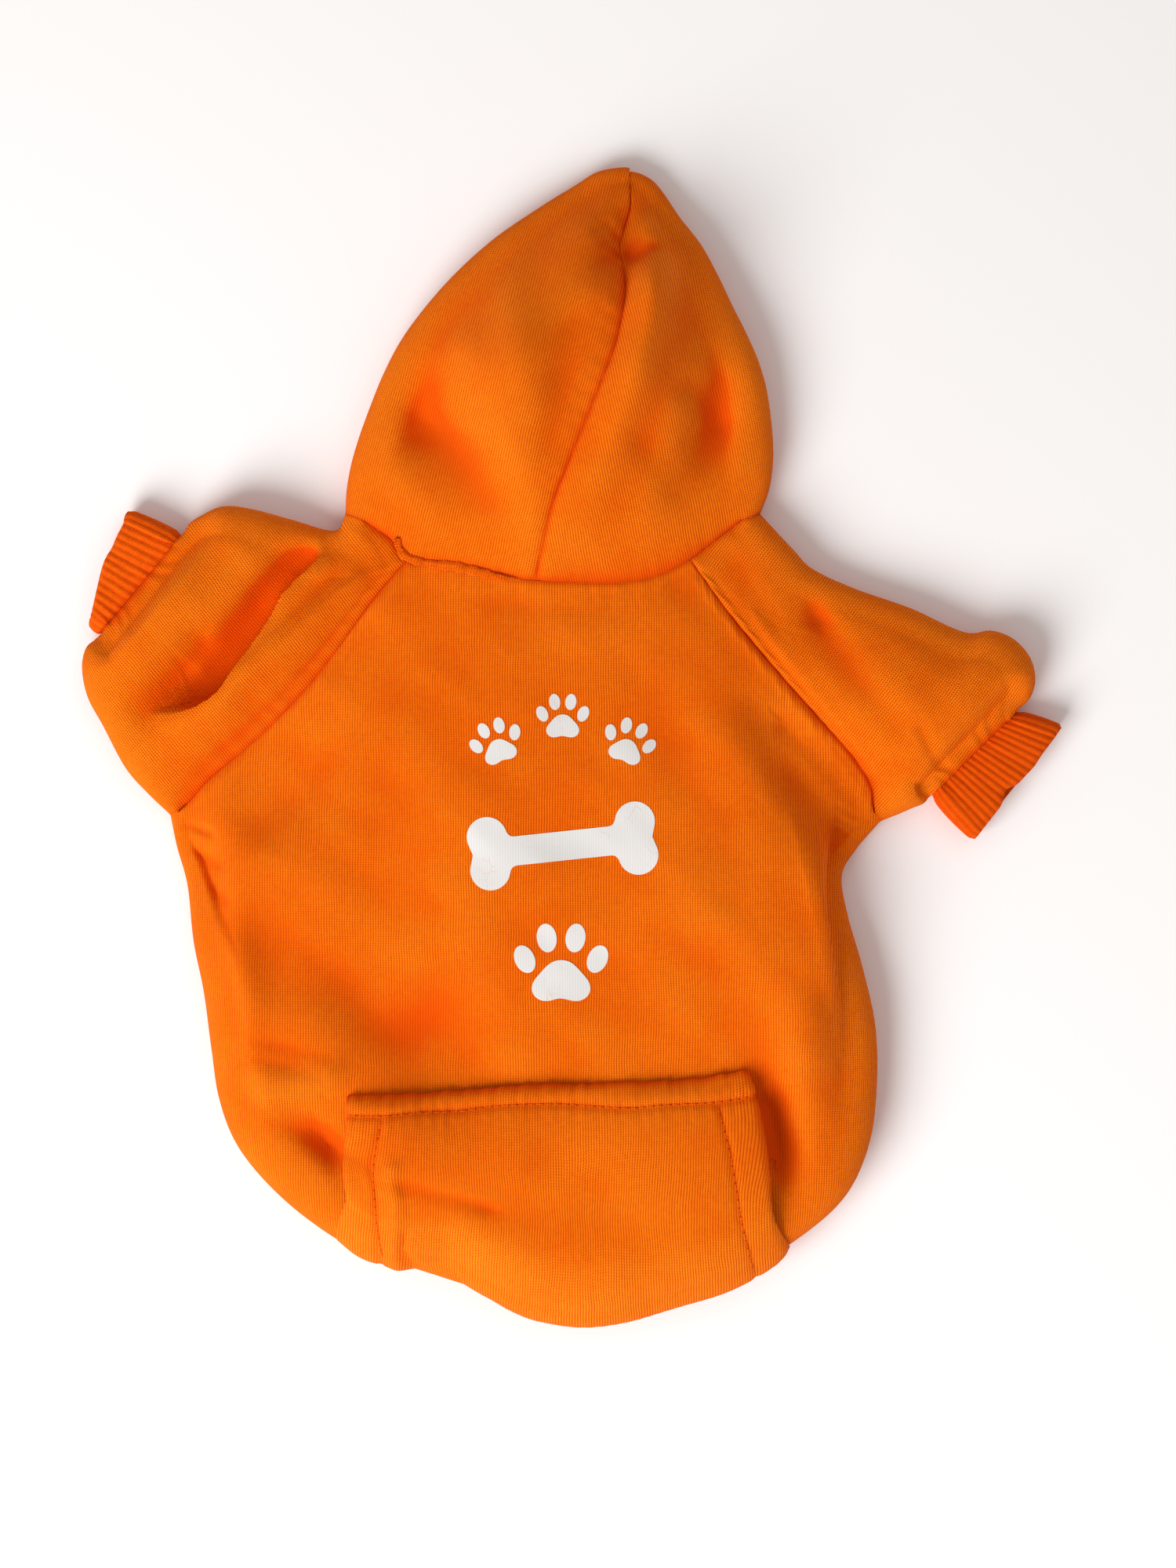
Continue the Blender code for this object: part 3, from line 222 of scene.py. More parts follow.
def readGrid(grid, rows, columns):
    # the grid's values between its own rows and columns
    r0 = np.clip(rows.astype(int), 0, grid.shape[0] - 2)
    c0 = np.clip(columns.astype(int), 0, grid.shape[1] - 2)
    fr, fc = (rows - r0)[..., None], (columns - c0)[..., None]
    return (
        grid[r0, c0] * (1 - fr) * (1 - fc)
        + grid[r0 + 1, c0] * fr * (1 - fc)
        + grid[r0, c0 + 1] * (1 - fr) * fc
        + grid[r0 + 1, c0 + 1] * fr * fc
    )


# ---- folds, puckers and unevenness of the cloth


def lineDistance(x, y, points):
    # distance to a smooth line, with its sign to the left of the way it runs, and the way along it
    line = smoothLine(points, max(12, 6 * len(points)))
    slopes = unit(np.gradient(line, axis=0))
    dx, dy = x[..., None] - line[:, 0], y[..., None] - line[:, 1]
    nearest = np.argmin(dx * dx + dy * dy, axis=-1)
    dx = np.take_along_axis(dx, nearest[..., None], -1)[..., 0]
    dy = np.take_along_axis(dy, nearest[..., None], -1)[..., 0]
    side = slopes[nearest, 0] * dy - slopes[nearest, 1] * dx
    return np.hypot(dx, dy) * np.where(side < 0, -1.0, 1.0), nearest / (len(line) - 1)


def leftOf(points, way):
    # the direction to the left of a line at each share of the way along it
    line = smoothLine(points, 80)
    return readLine(-lineNormals(line), np.linspace(0, 1, len(line)), way)


def foldHeights(folds, x, y):
    # each fold is a line in photo pixels, its spread to the left and right, and its height
    total = np.zeros_like(x)
    for points, left, right, height in folds:
        distance, way = lineDistance(x, y, fromPhoto(*points))
        spread = np.where(distance > 0, left, right)
        total += height * bell(distance, spread)
    return total


def broadHeights(dents, x, y, width, length):
    # each dent: middle across and down, half length and half width, turn, height
    total = np.zeros_like(x)
    for across, down, along, aside, turn, height in dents:
        dx, dy = onTurnedAxes(x - across * width, y + down * length, turn)
        u, v = dx / along, dy / aside
        total += height * np.exp(-(u * u + v * v))
    return total


unevenSizes = {"waves": 9, "shortest": 11 * mm, "longest": 42 * mm, "bend": 0.8, "bendWave": 2.3, "even": 2.2}
fullTurn = 6.28  # the random phases run to this


def unevenness(x, y, seed, height):
    # low waves of many lengths and directions, each a little bent by a longer one across it
    chance, sizes = np.random.default_rng(seed), unevenSizes
    total = np.zeros_like(x)
    for _ in range(sizes["waves"]):
        wave = chance.uniform(sizes["shortest"], sizes["longest"])
        turn, phase = chance.uniform(0, math.pi), chance.uniform(0, fullTurn)
        c, s = math.cos(turn), math.sin(turn)
        bend = sizes["bend"] * np.sin(2 * math.pi * (x * s + y * c) / (sizes["bendWave"] * wave) + phase)
        total += (wave / sizes["longest"]) * np.sin(2 * math.pi * (x * c + y * s) / wave + phase + bend)
    return height * total / sizes["even"]


def seamDip(distance):
    # cloth rolls down into a seam, after a low swell beside it
    roll = np.exp(-((distance / cloth["dipReach"]) ** cloth["dipShape"]))
    return -cloth["dip"] * roll + cloth["swell"] * bell(distance - cloth["swellAway"], cloth["swellReach"])


puckerSizes = {"wave": 7.5 * mm, "reach": 5 * mm, "away": 2.5 * mm, "driftWaves": (2.7, 4.1, 6.3)}


def puckers(distance, along, seed, height, wave=puckerSizes["wave"], reach=puckerSizes["reach"]):
    # small gathers beside a seam, whose spacing drifts along it
    chance = np.random.default_rng(seed)
    drift = sum(
        chance.uniform(0.6, 1.4) * np.sin(2 * math.pi * along / (wave * k) + chance.uniform(0, fullTurn))
        for k in puckerSizes["driftWaves"]
    )
    gathers = height * np.sin(2 * math.pi * along / wave + drift)
    return gathers * bell(distance - puckerSizes["away"], reach)


def walked(grid, axis):
    steps = np.linalg.norm(np.diff(grid, axis=axis), axis=2)
    start = np.zeros_like(np.take(steps, [0], axis=axis))
    return np.concatenate([start, np.cumsum(steps, axis=axis)], axis=axis)


def easedJoints(grid, joints, reach, axis, wrap=False):
    # takes the kink out of the rows or columns where the flat cloth runs into its fold
    work = np.swapaxes(grid, 0, 1).copy() if axis == 0 else grid.copy()
    rows, count = work.shape[:2]
    half = count // 2
    away = [np.arange(count) - joint for joint in joints]
    away = np.min([np.abs((a + half) % count - half) if wrap else np.abs(a) for a in away], axis=0)
    weight = 0.5 * bell(away, reach)[None, :, None]
    weight = weight * smoothStep(fromEnds(rows) / (0.8 * fineness))[:, None, None]
    for _ in range(3 * reach):
        before, after = np.roll(work, 1, axis=1), np.roll(work, -1, axis=1)
        if not wrap:
            before[:, 0], after[:, -1] = work[:, 0], work[:, -1]
        work += weight * ((before + after) / 2 - work)
    return np.swapaxes(work, 0, 1) if axis == 0 else work


hollowSizes = {"reach": 5.5 * mm, "shortest": 0.2 * mm, "height": 3.0 * mm, "window": (2, 24)}


def hollowness(outer, wrap):
    # 0 on a ridge, 1 in a valley: how high a place lies against the cloth round it, which sets the painted
    #                              shade in valleys and the painted highlight on ridges
    height = outer[..., 2]
    eased = height
    for axis in (0, 1):
        step = np.median(np.linalg.norm(np.diff(outer, axis=axis), axis=2))
        half = round(hollowSizes["reach"] / max(float(step), hollowSizes["shortest"]))
        half = int(np.clip(half, *hollowSizes["window"]))
        window, mode = 2 * half + 1, "wrap" if wrap and axis == 1 else "edge"
        for _ in range(2):
            padded = np.pad(eased, [(half + 1, half) if k == axis else (0, 0) for k in (0, 1)], mode)
            sums = np.cumsum(padded, axis=axis)
            places = np.arange(sums.shape[axis] - window)
            eased = (np.take(sums, places + window, axis) - np.take(sums, places, axis)) / window
    return np.clip(0.5 - (height - eased) / hollowSizes["height"], 0.0, 1.0)


# ---- meshes


def outwardFaces(mesh):
    shape = bmesh.new()
    shape.from_mesh(mesh)
    bmesh.ops.recalc_face_normals(shape, faces=shape.faces)
    shape.to_mesh(mesh)
    shape.free()


def addWeave(mesh, flat):
    corners = np.zeros(len(mesh.loops), int)
    mesh.loops.foreach_get("vertex_index", corners)
    mesh.uv_layers.new(name="weave").data.foreach_set("uv", flat[corners].astype(np.float32).ravel())


def addPointValues(mesh, label, values):
    made = mesh.attributes.new(label, "FLOAT", "POINT")
    made.data.foreach_set("value", values.astype(np.float32))


def addObject(name, content):
    made = bpy.data.objects.new(name, content)
    bpy.context.scene.collection.objects.link(made)
    return made


def addSheet(name, outer, inner, weave, paintedShade, grain=0.0, wrap=False):
    # one closed cloth from the points of its two sides, with its weave map, its painted shade along seams and
    # edges, and its painted shade and highlight by valleys and ridges
    rows, columns = outer.shape[:2]
    half = rows * columns
    i, j = np.meshgrid(np.arange(rows - 1), np.arange(columns if wrap else columns - 1), indexing="ij")
    i, j = i.ravel(), j.ravel()
    k = (j + 1) % columns
    quads = np.stack([i * columns + j, i * columns + k, (i + 1) * columns + k, (i + 1) * columns + j], axis=1)
    faces = [quads, half + quads[:, ::-1]]
    j = np.arange(columns if wrap else columns - 1)
    k = (j + 1) % columns
    for row, step in ((0, 1), (rows - 1, -1)):
        a, b = row * columns + j, row * columns + k
        faces.append(np.stack([b, a, half + a, half + b], axis=1)[:, ::step])
    if not wrap:
        i = np.arange(rows - 1)
        for column, step in ((0, 1), (columns - 1, -1)):
            a, b = i * columns + column, (i + 1) * columns + column
            faces.append(np.stack([a, b, half + b, half + a], axis=1)[:, ::step])
    faces = np.concatenate(faces)
    points = np.concatenate([outer.reshape(-1, 3), inner.reshape(-1, 3)]) + frameShift
    points[:, 2] = np.maximum(points[:, 2], 0.0)
    mesh = bpy.data.meshes.new(name)
    mesh.from_pydata(points.tolist(), [], faces.tolist())
    outwardFaces(mesh)
    turned = np.stack(onTurnedAxes(weave[..., 0], weave[..., 1], grain), axis=-1).reshape(-1, 2)
    addWeave(mesh, np.tile(turned, (2, 1)))
    addPointValues(mesh, "paintedSeamShade", np.tile(paintedShade.ravel(), 2))
    addPointValues(mesh, "paintedShadeAndHighlight", np.tile(hollowness(outer, wrap).ravel(), 2))
    mesh.shade_smooth()
    mesh.set_sharp_from_angle(angle=math.radians(60))
    made = addObject(name, mesh)
    # the pattern piece that the cloth was cut as: its area, and the rectangle round it
    a, b = weave[1:, :-1] - weave[:-1, :-1], weave[:-1, 1:] - weave[:-1, :-1]
    area = float(np.abs(a[..., 0] * b[..., 1] - a[..., 1] * b[..., 0]).sum())
    width, length = np.ptp(turned, axis=0)
    made["cut"] = (area, max(float(width), area / (fullestCut * float(length))), float(length))
    return made


def dressed(piece, material, node, held=None):
    piece.data.materials.clear()
    piece.data.materials.append(material)
    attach(piece, "root")
    if node:
        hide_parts(node)
    if held:
        area, width, length = piece["cut"]
        print(
            f"  {piece.name}: cut from {width * 1000:.0f} x {length * 1000:.0f} mm, {area * 1e4:.0f} square cm"
        )


# ---- finishes


class Value:  # one shader socket: a Python sum on it adds Math nodes
    def __init__(self, finish, socket):
        self.finish, self.socket = finish, socket

    def maths(self, operation, *others):
        return self.finish.node("ShaderNodeMath", {"operation": operation}, dict(enumerate([self, *others])))

    def turned(self, operation, other):
        return self.finish.node("ShaderNodeMath", {"operation": operation}, {0: other, 1: self})

    def output(self, index):
        return Value(self.finish, self.socket.node.outputs[index])

    def clamped(self):
        return self.finish.node("ShaderNodeClamp", {}, {0: self})

    def __add__(self, other):
        return self.maths("ADD", other)

    def __sub__(self, other):
        return self.maths("SUBTRACT", other)

    def __mul__(self, other):
        return self.maths("MULTIPLY", other)

    def __truediv__(self, other):
        return self.maths("DIVIDE", other)

    def __pow__(self, other):
        return self.maths("POWER", other)

    def __rsub__(self, other):
        return self.turned("SUBTRACT", other)

    def __rtruediv__(self, other):
        return self.turned("DIVIDE", other)

    __radd__, __rmul__ = __add__, __mul__


class Finish:  # one material and its nodes
    def __init__(self, name):
        self.material = bpy.data.materials.new(name)
        self.material.use_nodes = True
        self.tree = self.material.node_tree
        self.shader = self.tree.nodes["Principled BSDF"]

    def node(self, kind, settings=None, inputs=None, output=0):
        made = self.tree.nodes.new(kind)
        for key, value in (settings or {}).items():
            setattr(made, key, value)
        for key, value in (inputs or {}).items():
            self.feed(made.inputs[key], value)
        return Value(self, made.outputs[output])

    def feed(self, socket, value):
        if isinstance(value, Value):
            self.tree.links.new(value.socket, socket)
        else:
            socket.default_value = value

    def mixed(self, share, first, second):
        ends = [c if isinstance(c, Value) else (*c, 1.0) for c in (first, second)]
        return self.node("ShaderNodeMix", {"data_type": "RGBA"}, {0: share, 6: ends[0], 7: ends[1]}, 2)

    def noise(self, place, scale, detail=2.0, roughness=0.5):
        inputs = {"Vector": place, "Scale": scale, "Detail": detail, "Roughness": roughness}
        return self.node("ShaderNodeTexNoise", {}, inputs)

    def pointValue(self, label):
        return self.node("ShaderNodeAttribute", {"attribute_name": label}, output=2)

    def bumped(self, height, distance, strength):
        return self.node("ShaderNodeBump", {}, {"Height": height, "Distance": distance, "Strength": strength})

    def set(self, **sockets):
        for name, value in sockets.items():
            self.feed(self.shader.inputs[name.replace("_", " ")], value)


fleeceLook = {
    "wale": 0.82 * mm,
    "course": 0.76 * mm,
    "face": (1.0, 0.194, 0.0040),
    # a paler tone at random, and the painted highlight on ridges
    "bright": (1.0, 0.262, 0.0110),
    # painted shade between the stitches
    "gap": (0.66, 0.050, 0.0008),
    # a darker tone at random, and the painted shade in valleys
    "deep": (0.84, 0.066, 0.0008),
    # painted shade along seams, edges and stitched lines
    "seam": (0.74, 0.052, 0.0010),
    "depth": 0.36 * mm,
    "sheenTint": (1.0, 0.34, 0.05, 1.0),
    "specularTint": (1.0, 0.55, 0.15, 1.0),
    # the noise that the rows of stitches stray by, and how far
    "sway": (55.0, 1.6 * mm),
    "drift": (34.0, 2.4 * mm),
    "fuzzScale": 1500.0,
    "heatherScale": 620.0,
    "toneScale": 26.0,
    # how strongly each tone shows at its fullest
    "brightShare": 0.5,
    "deepShare": 0.42,
    "valleyShadeShare": 0.7,
    "ridgeHighlightShare": 0.45,
    "seamShadeShare": 0.85,
}
ribLook = {
    "wale": 0.62 * mm,
    "course": 0.66 * mm,
    "depth": 0.2 * mm,
    "face": (0.93, 0.135, 0.0040),
    # painted shade between the stitches and in the furrows between the ribs
    "deep": (0.60, 0.050, 0.0015),
    "sheenTint": (1.0, 0.28, 0.04, 1.0),
    "specularTint": (1.0, 0.45, 0.1, 1.0),
    "fuzzScale": 1400.0,
    "heatherScale": 560.0,
}
printLook = {
    "face": (0.76, 0.755, 0.745),
    "worn": (0.70, 0.69, 0.67),
    "knit": (0.76, 0.46, 0.28),
    "crack": (0.80, 0.36, 0.14),
}
threadLook = {"face": (0.92, 0.15, 0.005), "deep": (0.55, 0.055, 0.002)}
# the stitch holes are dark marks: painted shade where the thread dips into the cloth
holeLook = {"face": (0.58, 0.045, 0.001), "deep": (0.42, 0.026, 0.001)}


def knitHeight(across, along, look):
    # columns of small V stitches: 1 on the yarn, 0 between
    ridge = ((across / look["wale"]).maths("FRACT") - 0.5).maths("ABSOLUTE") * 2.0
    loop = ((along / look["course"] + ridge * 0.85) * (2 * math.pi)).maths("COSINE") * 0.5 + 0.5
    return (1.0 - ridge * ridge) * 0.62 + loop * 0.38


def fleeceFinish(name, look):
    finish = Finish(name)
    place = finish.node("ShaderNodeTexCoord", output=3)
    weave = finish.node("ShaderNodeUVMap", {"uv_map": "weave"})
    across = finish.node("ShaderNodeSeparateXYZ", {}, {0: weave})
    along = across.output(1)
    (swayScale, sway), (driftScale, drift) = look["sway"], look["drift"]
    across = across + (finish.noise(place, swayScale) - 0.5) * sway
    along = along + (finish.noise(place, driftScale) - 0.5) * drift
    stitch = knitHeight(across, along, look)
    fuzz = finish.noise(place, look["fuzzScale"], 3.0, 0.65)
    heather = finish.noise(place, look["heatherScale"], 3.0, 0.7)
    tone = finish.noise(place, look["toneScale"], 4.0, 0.65)
    # painted shade in the gaps between the stitches, uneven from stitch to stitch
    yarn = ((stitch - 0.24) * 2.0 + (heather - 0.5) * 0.9).clamped()
    base = finish.mixed(yarn, look["gap"], look["face"])
    base = finish.mixed(((tone - 0.44) * 2.4).clamped() * look["brightShare"] * yarn, base, look["bright"])
    base = finish.mixed(((0.56 - tone) * 2.6).clamped() * look["deepShare"], base, look["deep"])
    # painted shade in the cloth's valleys and painted highlight on its ridges
    paintedShadeAndHighlight = finish.pointValue("paintedShadeAndHighlight")
    base = finish.mixed(((paintedShadeAndHighlight - 0.5) * 2.0).clamped() * look["valleyShadeShare"], base, look["deep"])
    base = finish.mixed(((0.5 - paintedShadeAndHighlight) * 2.0).clamped() * look["ridgeHighlightShare"] * yarn, base, look["bright"])
    # painted shade along seams, edges and stitched lines
    base = finish.mixed(finish.pointValue("paintedSeamShade").clamped() * look["seamShadeShare"], base, look["seam"])
    bump = finish.bumped(stitch + fuzz * 0.4 + heather * 0.2, look["depth"], 0.9)
    finish.set(Base_Color=base, Roughness=0.86 + (fuzz - 0.5) * 0.12, Normal=bump)
    finish.set(Sheen_Weight=0.12, Sheen_Roughness=0.5, Specular_IOR_Level=0.1)
    finish.set(Sheen_Tint=look["sheenTint"], Specular_Tint=look["specularTint"])
    return finish.material


def ribFinish(name, look):
    finish = Finish(name)
    place = finish.node("ShaderNodeTexCoord", output=3)
    weave = finish.node("ShaderNodeUVMap", {"uv_map": "weave"})
    across = finish.node("ShaderNodeSeparateXYZ", {}, {0: weave})
    stitch = knitHeight(across, across.output(1), look)
    fuzz = finish.noise(place, look["fuzzScale"], 3.0, 0.65)
    heather = finish.noise(place, look["heatherScale"], 3.0, 0.7)
    # painted shade in the gaps between the stitches
    base = finish.mixed((stitch * 0.9 + (heather - 0.5) * 1.2 + 0.1).clamped(), look["deep"], look["face"])
    # here the painted seam shade marks the furrows between the ribs, and the painted shadow over the right
    # cuff
    base = finish.mixed((finish.pointValue("paintedSeamShade") * 0.5).clamped(), base, look["deep"])
    bump = finish.bumped(stitch * 0.8 + fuzz * 0.6, look["depth"], 0.8)
    finish.set(Base_Color=base, Roughness=0.88 + (fuzz - 0.5) * 0.1, Normal=bump)
    finish.set(Sheen_Weight=0.1, Sheen_Roughness=0.5, Specular_IOR_Level=0.1)
    finish.set(Sheen_Tint=look["sheenTint"], Specular_Tint=look["specularTint"])
    return finish.material


def threadFinish(name, look):
    finish = Finish(name)
    place = finish.node("ShaderNodeTexCoord", output=3)
    bands = {"wave_type": "BANDS", "bands_direction": "DIAGONAL"}
    ply = finish.node("ShaderNodeTexWave", bands, {"Vector": place, "Scale": 900.0, "Distortion": 2.0}, 1)
    fuzz = finish.noise(place, 2200.0)
    base = finish.mixed((ply * 0.7 + fuzz * 0.3).clamped(), look["deep"], look["face"])
    finish.set(Base_Color=base, Roughness=0.7, Normal=finish.bumped(ply + fuzz * 0.5, 0.06 * mm, 0.7))
    finish.set(Sheen_Weight=0.05, Specular_IOR_Level=0.12)
    finish.set(Sheen_Tint=fleeceLook["sheenTint"], Specular_Tint=ribLook["specularTint"])
    return finish.material


def printFinish(name, look):
    # soft white transfer print: fine cracks and thin places let the knit through
    finish = Finish(name)
    place = finish.node("ShaderNodeTexCoord", output=3)
    parts = finish.node("ShaderNodeSeparateXYZ", {}, {0: place})
    knit = knitHeight(parts, parts.output(1), fleeceLook)
    edges = {"feature": "DISTANCE_TO_EDGE"}
    cracks = finish.node("ShaderNodeTexVoronoi", edges, {"Vector": place, "Scale": 260.0, "Randomness": 1.0})
    worn = finish.noise(place, 90.0, 4.0, 0.65)
    crack = (1.0 - (cracks * 16.0).clamped()) * ((worn - 0.54) * 6.0).clamped()
    grime = finish.noise(place, 40.0)
    base = finish.mixed((grime * 0.5).clamped(), look["face"], look["worn"])
    base = finish.mixed(((0.45 - knit) * 1.6).clamped() * 0.22, base, look["knit"])
    base = finish.mixed(crack * 0.35, base, look["crack"])
    finish.set(
        Base_Color=base,
        Roughness=0.5 + worn * 0.18,
        Normal=finish.bumped(knit * 0.7 - crack, 0.12 * mm, 0.6),
    )
    finish.set(Specular_IOR_Level=0.35)
    return finish.material


fleece = fleeceFinish("fleece knit", fleeceLook)
ribbing = ribFinish("rib knit", ribLook)
seamThread = threadFinish("seam thread", threadLook)
holeShade = threadFinish("stitch hole shade", holeLook)
printWhite = printFinish("white print", printLook)
print("finishes made")

# ---- neck seam

neckSizes = {
    "width": 133 * mm,
    "sag": 22.5 * mm,
    "fold": 7 * mm,
    "rise": 7 * mm,
    "fineSteps": 1600,
    "backSteps": {"left": 4, "right": 5},
    "shoulderSteps": 3,
    "frontSteps": 12,
    "throatSteps": 12,
    "backLeft": [(-0.457, 0.12), (-0.385, 0.39), (-0.348, 0.667)],
    "backMiddle": [
        (-0.348, 0.667), (-0.273, 0.72), (-0.179, 0.82), (-0.103, 0.92), (-0.041, 0.967),
        (0.066, 1.0), (0.160, 1.0), (0.254, 0.89), (0.329, 0.667),
    ],
    "backRight": [(0.451, 0.12), (0.389, 0.39), (0.329, 0.667)],
    "corner": {"left": (-0.498, 0.0), "right": (0.498, 0.0)},
    "cornerTurn": {"left": 158, "right": 22},
    "seamFoot": (-0.041, 0.967),
    "front": {"left": [(-0.376, 0.28), (-0.216, 0.39)], "right": [(0.376, 0.28), (0.216, 0.39)]},
    "throat": (0.0, 0.48),
}
arcSteps = 20


class NeckSeam:
    def __init__(self, sizes):
        width, sag, fold = sizes["width"], sizes["sag"], sizes["fold"]
        self.back, self.front, self.arc, self.corner, self.outward, self.tangent = {}, {}, {}, {}, {}, {}
        # the place along each half where the raglan seam starts
        self.split = {side: steps * fineness for side, steps in sizes["backSteps"].items()}
        foot = placed(sizes["seamFoot"], width, sag)
        fine = smoothLine(placedLine(sizes["backMiddle"], width, sag), sizes["fineSteps"])
        cut = int(np.argmin(np.linalg.norm(fine - foot, axis=1)))
        flat = {
            "left": respaced(fine[: cut + 1][::-1], self.split["left"]),
            "right": respaced(fine[cut:], self.split["right"]),
        }
        half = width / 2 - fold
        for side, back in (("left", "backLeft"), ("right", "backRight")):
            corner = placed(sizes["corner"][side], width, sag)
            outward = heading(sizes["cornerTurn"][side])
            tangent = corner - outward * fold
            shoulder = [tangent, *placedLine(sizes[back], width, sag)[1:]]
            shoulder = smoothLine(shoulder, sizes["shoulderSteps"] * fineness)[::-1]
            line = np.concatenate([flat[side], shoulder[1:]])
            rise = np.cos(np.clip(np.abs(line[:, 0]) / half, 0, 1) * math.pi / 2)
            self.corner[side], self.outward[side], self.tangent[side] = corner, outward, tangent
            self.back[side] = raised(line, 2 * fold + sizes["rise"] * rise)
            self.arc[side] = foldArc(tangent, outward, fold, arcSteps)
            front = placedLine(sizes["front"][side], width, sag)
            throat = respaced([front[1], placed(sizes["throat"], width, sag)], sizes["throatSteps"])
            line = np.concatenate([smoothLine([tangent, *front], sizes["frontSteps"]), throat[1:]])
            self.front[side] = raised(line, 0.0)


neck = NeckSeam(neckSizes)

# ---- raglan seams

raglanSizes = {
    "fold": 3.6 * mm,
    "leg": 3 * mm,
    "steps": 12,
    "frontSteps": 7,
    "perFrontStep": 5,
    "fall": 2.4,
    "back": {
        "left": [(-0.268, 0.104), (-0.327, 0.170), (-0.381, 0.2235), (-0.446, 0.277), (-0.518, 0.3256)],
        "right": [(0.268, 0.126), (0.333, 0.1895), (0.399, 0.250), (0.452, 0.298), (0.482, 0.335)],
    },
    "front": {
        "left": [(-0.250, 0.102), (-0.363, 0.190), (-0.470, 0.277), (-0.540, 0.335)],
        "right": [(0.245, 0.102), (0.339, 0.190), (0.420, 0.267), (0.460, 0.325)],
    },
    "underarm": {"left": (-0.583, 0.374), "right": (0.499, 0.382)},
    "underarmTurn": {"left": 200, "right": 308},
}
bodySizes = {
    "width": 210 * mm,
    "length": 257 * mm,
    "fold": 10 * mm,
    "rise": 6 * mm,
    "sideTurn": 10 * mm,
    "hemTurn": 14 * mm,
    "outlineSteps": 4000,
    "crowding": 0.35,
    # how the outline leans to each underarm's direction over its first cells
    "leanCells": 2,
    "lean": 0.5,
    "growCells": 6.0,
    "hemCells": (3.0, 5.0),
    "riseReach": 1.6,
    "riseShape": 1.4,
    "dentReach": 20 * mm,
    "easeRows": 5,
    "backRows": 112,
    "rowEase": 1.25,
    "tailRows": 10,
    "outline": [
        (-0.573, 0.413), (-0.556, 0.462), (-0.546, 0.530), (-0.530, 0.593), (-0.518, 0.666),
        (-0.507, 0.724), (-0.482, 0.778), (-0.437, 0.826), (-0.373, 0.873), (-0.298, 0.911),
        (-0.190, 0.940), (-0.077, 0.969), (0.042, 0.995), (0.173, 0.974), (0.292, 0.937),
        (0.384, 0.891), (0.446, 0.843), (0.480, 0.782), (0.492, 0.714), (0.490, 0.636),
        (0.470, 0.561), (0.449, 0.500), (0.440, 0.450), (0.461, 0.418),
    ],
    "dents": [
        (-0.480, 0.560, 52 * mm, 9 * mm, 96, 6.0 * mm),
        (-0.250, 0.540, 52 * mm, 20 * mm, 118, -6.5 * mm),
        (-0.440, 0.745, 34 * mm, 10 * mm, 128, 5.0 * mm),
        (-0.365, 0.770, 20 * mm, 6 * mm, 150, -6.0 * mm),
        (0.400, 0.600, 48 * mm, 12 * mm, 84, 5.0 * mm),
        (0.385, 0.345, 30 * mm, 8 * mm, 118, -7.0 * mm),
        (-0.400, 0.345, 34 * mm, 9 * mm, 46, -4.0 * mm),
        (0.345, 0.790, 28 * mm, 7 * mm, 100, -6.5 * mm),
        (0.010, 0.870, 46 * mm, 15 * mm, 0, -5.0 * mm),
        (0.060, 0.480, 60 * mm, 30 * mm, 90, -3.5 * mm),
    ],
    # photo pixels, spread left and right of the line, height
    "folds": [
        ([(275, 1322), (350, 1328), (420, 1346)], 1.8 * mm, 2.2 * mm, -0.9 * mm),
        ([(285, 1342), (350, 1350), (410, 1366)], 1.8 * mm, 2.2 * mm, -0.8 * mm),
        ([(330, 1424), (380, 1440), (430, 1462)], 3.0 * mm, 4.5 * mm, -2.2 * mm),
        ([(412, 1440), (428, 1490), (424, 1560)], 3.0 * mm, 5.0 * mm, -3.0 * mm),
        ([(985, 1410), (1000, 1490), (1012, 1560)], 6.0 * mm, 3.0 * mm, -2.5 * mm),
        ([(216, 1050), (240, 1052), (268, 1062)], 1.6 * mm, 1.6 * mm, -1.3 * mm),
        ([(224, 1084), (250, 1088), (280, 1104)], 1.8 * mm, 1.8 * mm, -1.2 * mm),
        ([(236, 1122), (262, 1128), (290, 1146)], 2.0 * mm, 2.0 * mm, -1.1 * mm),
        ([(1000, 925), (1050, 975), (1098, 1036)], 5.0 * mm, 3.5 * mm, -2.0 * mm),
        ([(1070, 1030), (1090, 1042)], 1.2 * mm, 1.2 * mm, -0.8 * mm),
        ([(1068, 1044), (1092, 1056)], 1.2 * mm, 1.2 * mm, -0.8 * mm),
        ([(1068, 1058), (1092, 1070)], 1.2 * mm, 1.2 * mm, -0.8 * mm),
        ([(262, 1130), (330, 1180), (420, 1245), (520, 1310)], 11.0 * mm, 13.0 * mm, -4.2 * mm),
        ([(300, 1060), (400, 1120), (520, 1200)], 8.0 * mm, 8.0 * mm, 1.4 * mm),
        ([(275, 1400), (340, 1388), (420, 1372)], 6.0 * mm, 5.0 * mm, 2.2 * mm),
        ([(500, 1000), (560, 1180), (590, 1330)], 12.0 * mm, 12.0 * mm, -1.6 * mm),
        ([(900, 1130), (960, 1210), (1010, 1330)], 12.0 * mm, 12.0 * mm, 2.4 * mm),
        ([(860, 960), (900, 1050), (930, 1130)], 10.0 * mm, 10.0 * mm, -1.6 * mm),
        ([(560, 745), (700, 772), (860, 745)], 8.0 * mm, 6.0 * mm, -1.0 * mm),
    ],
}


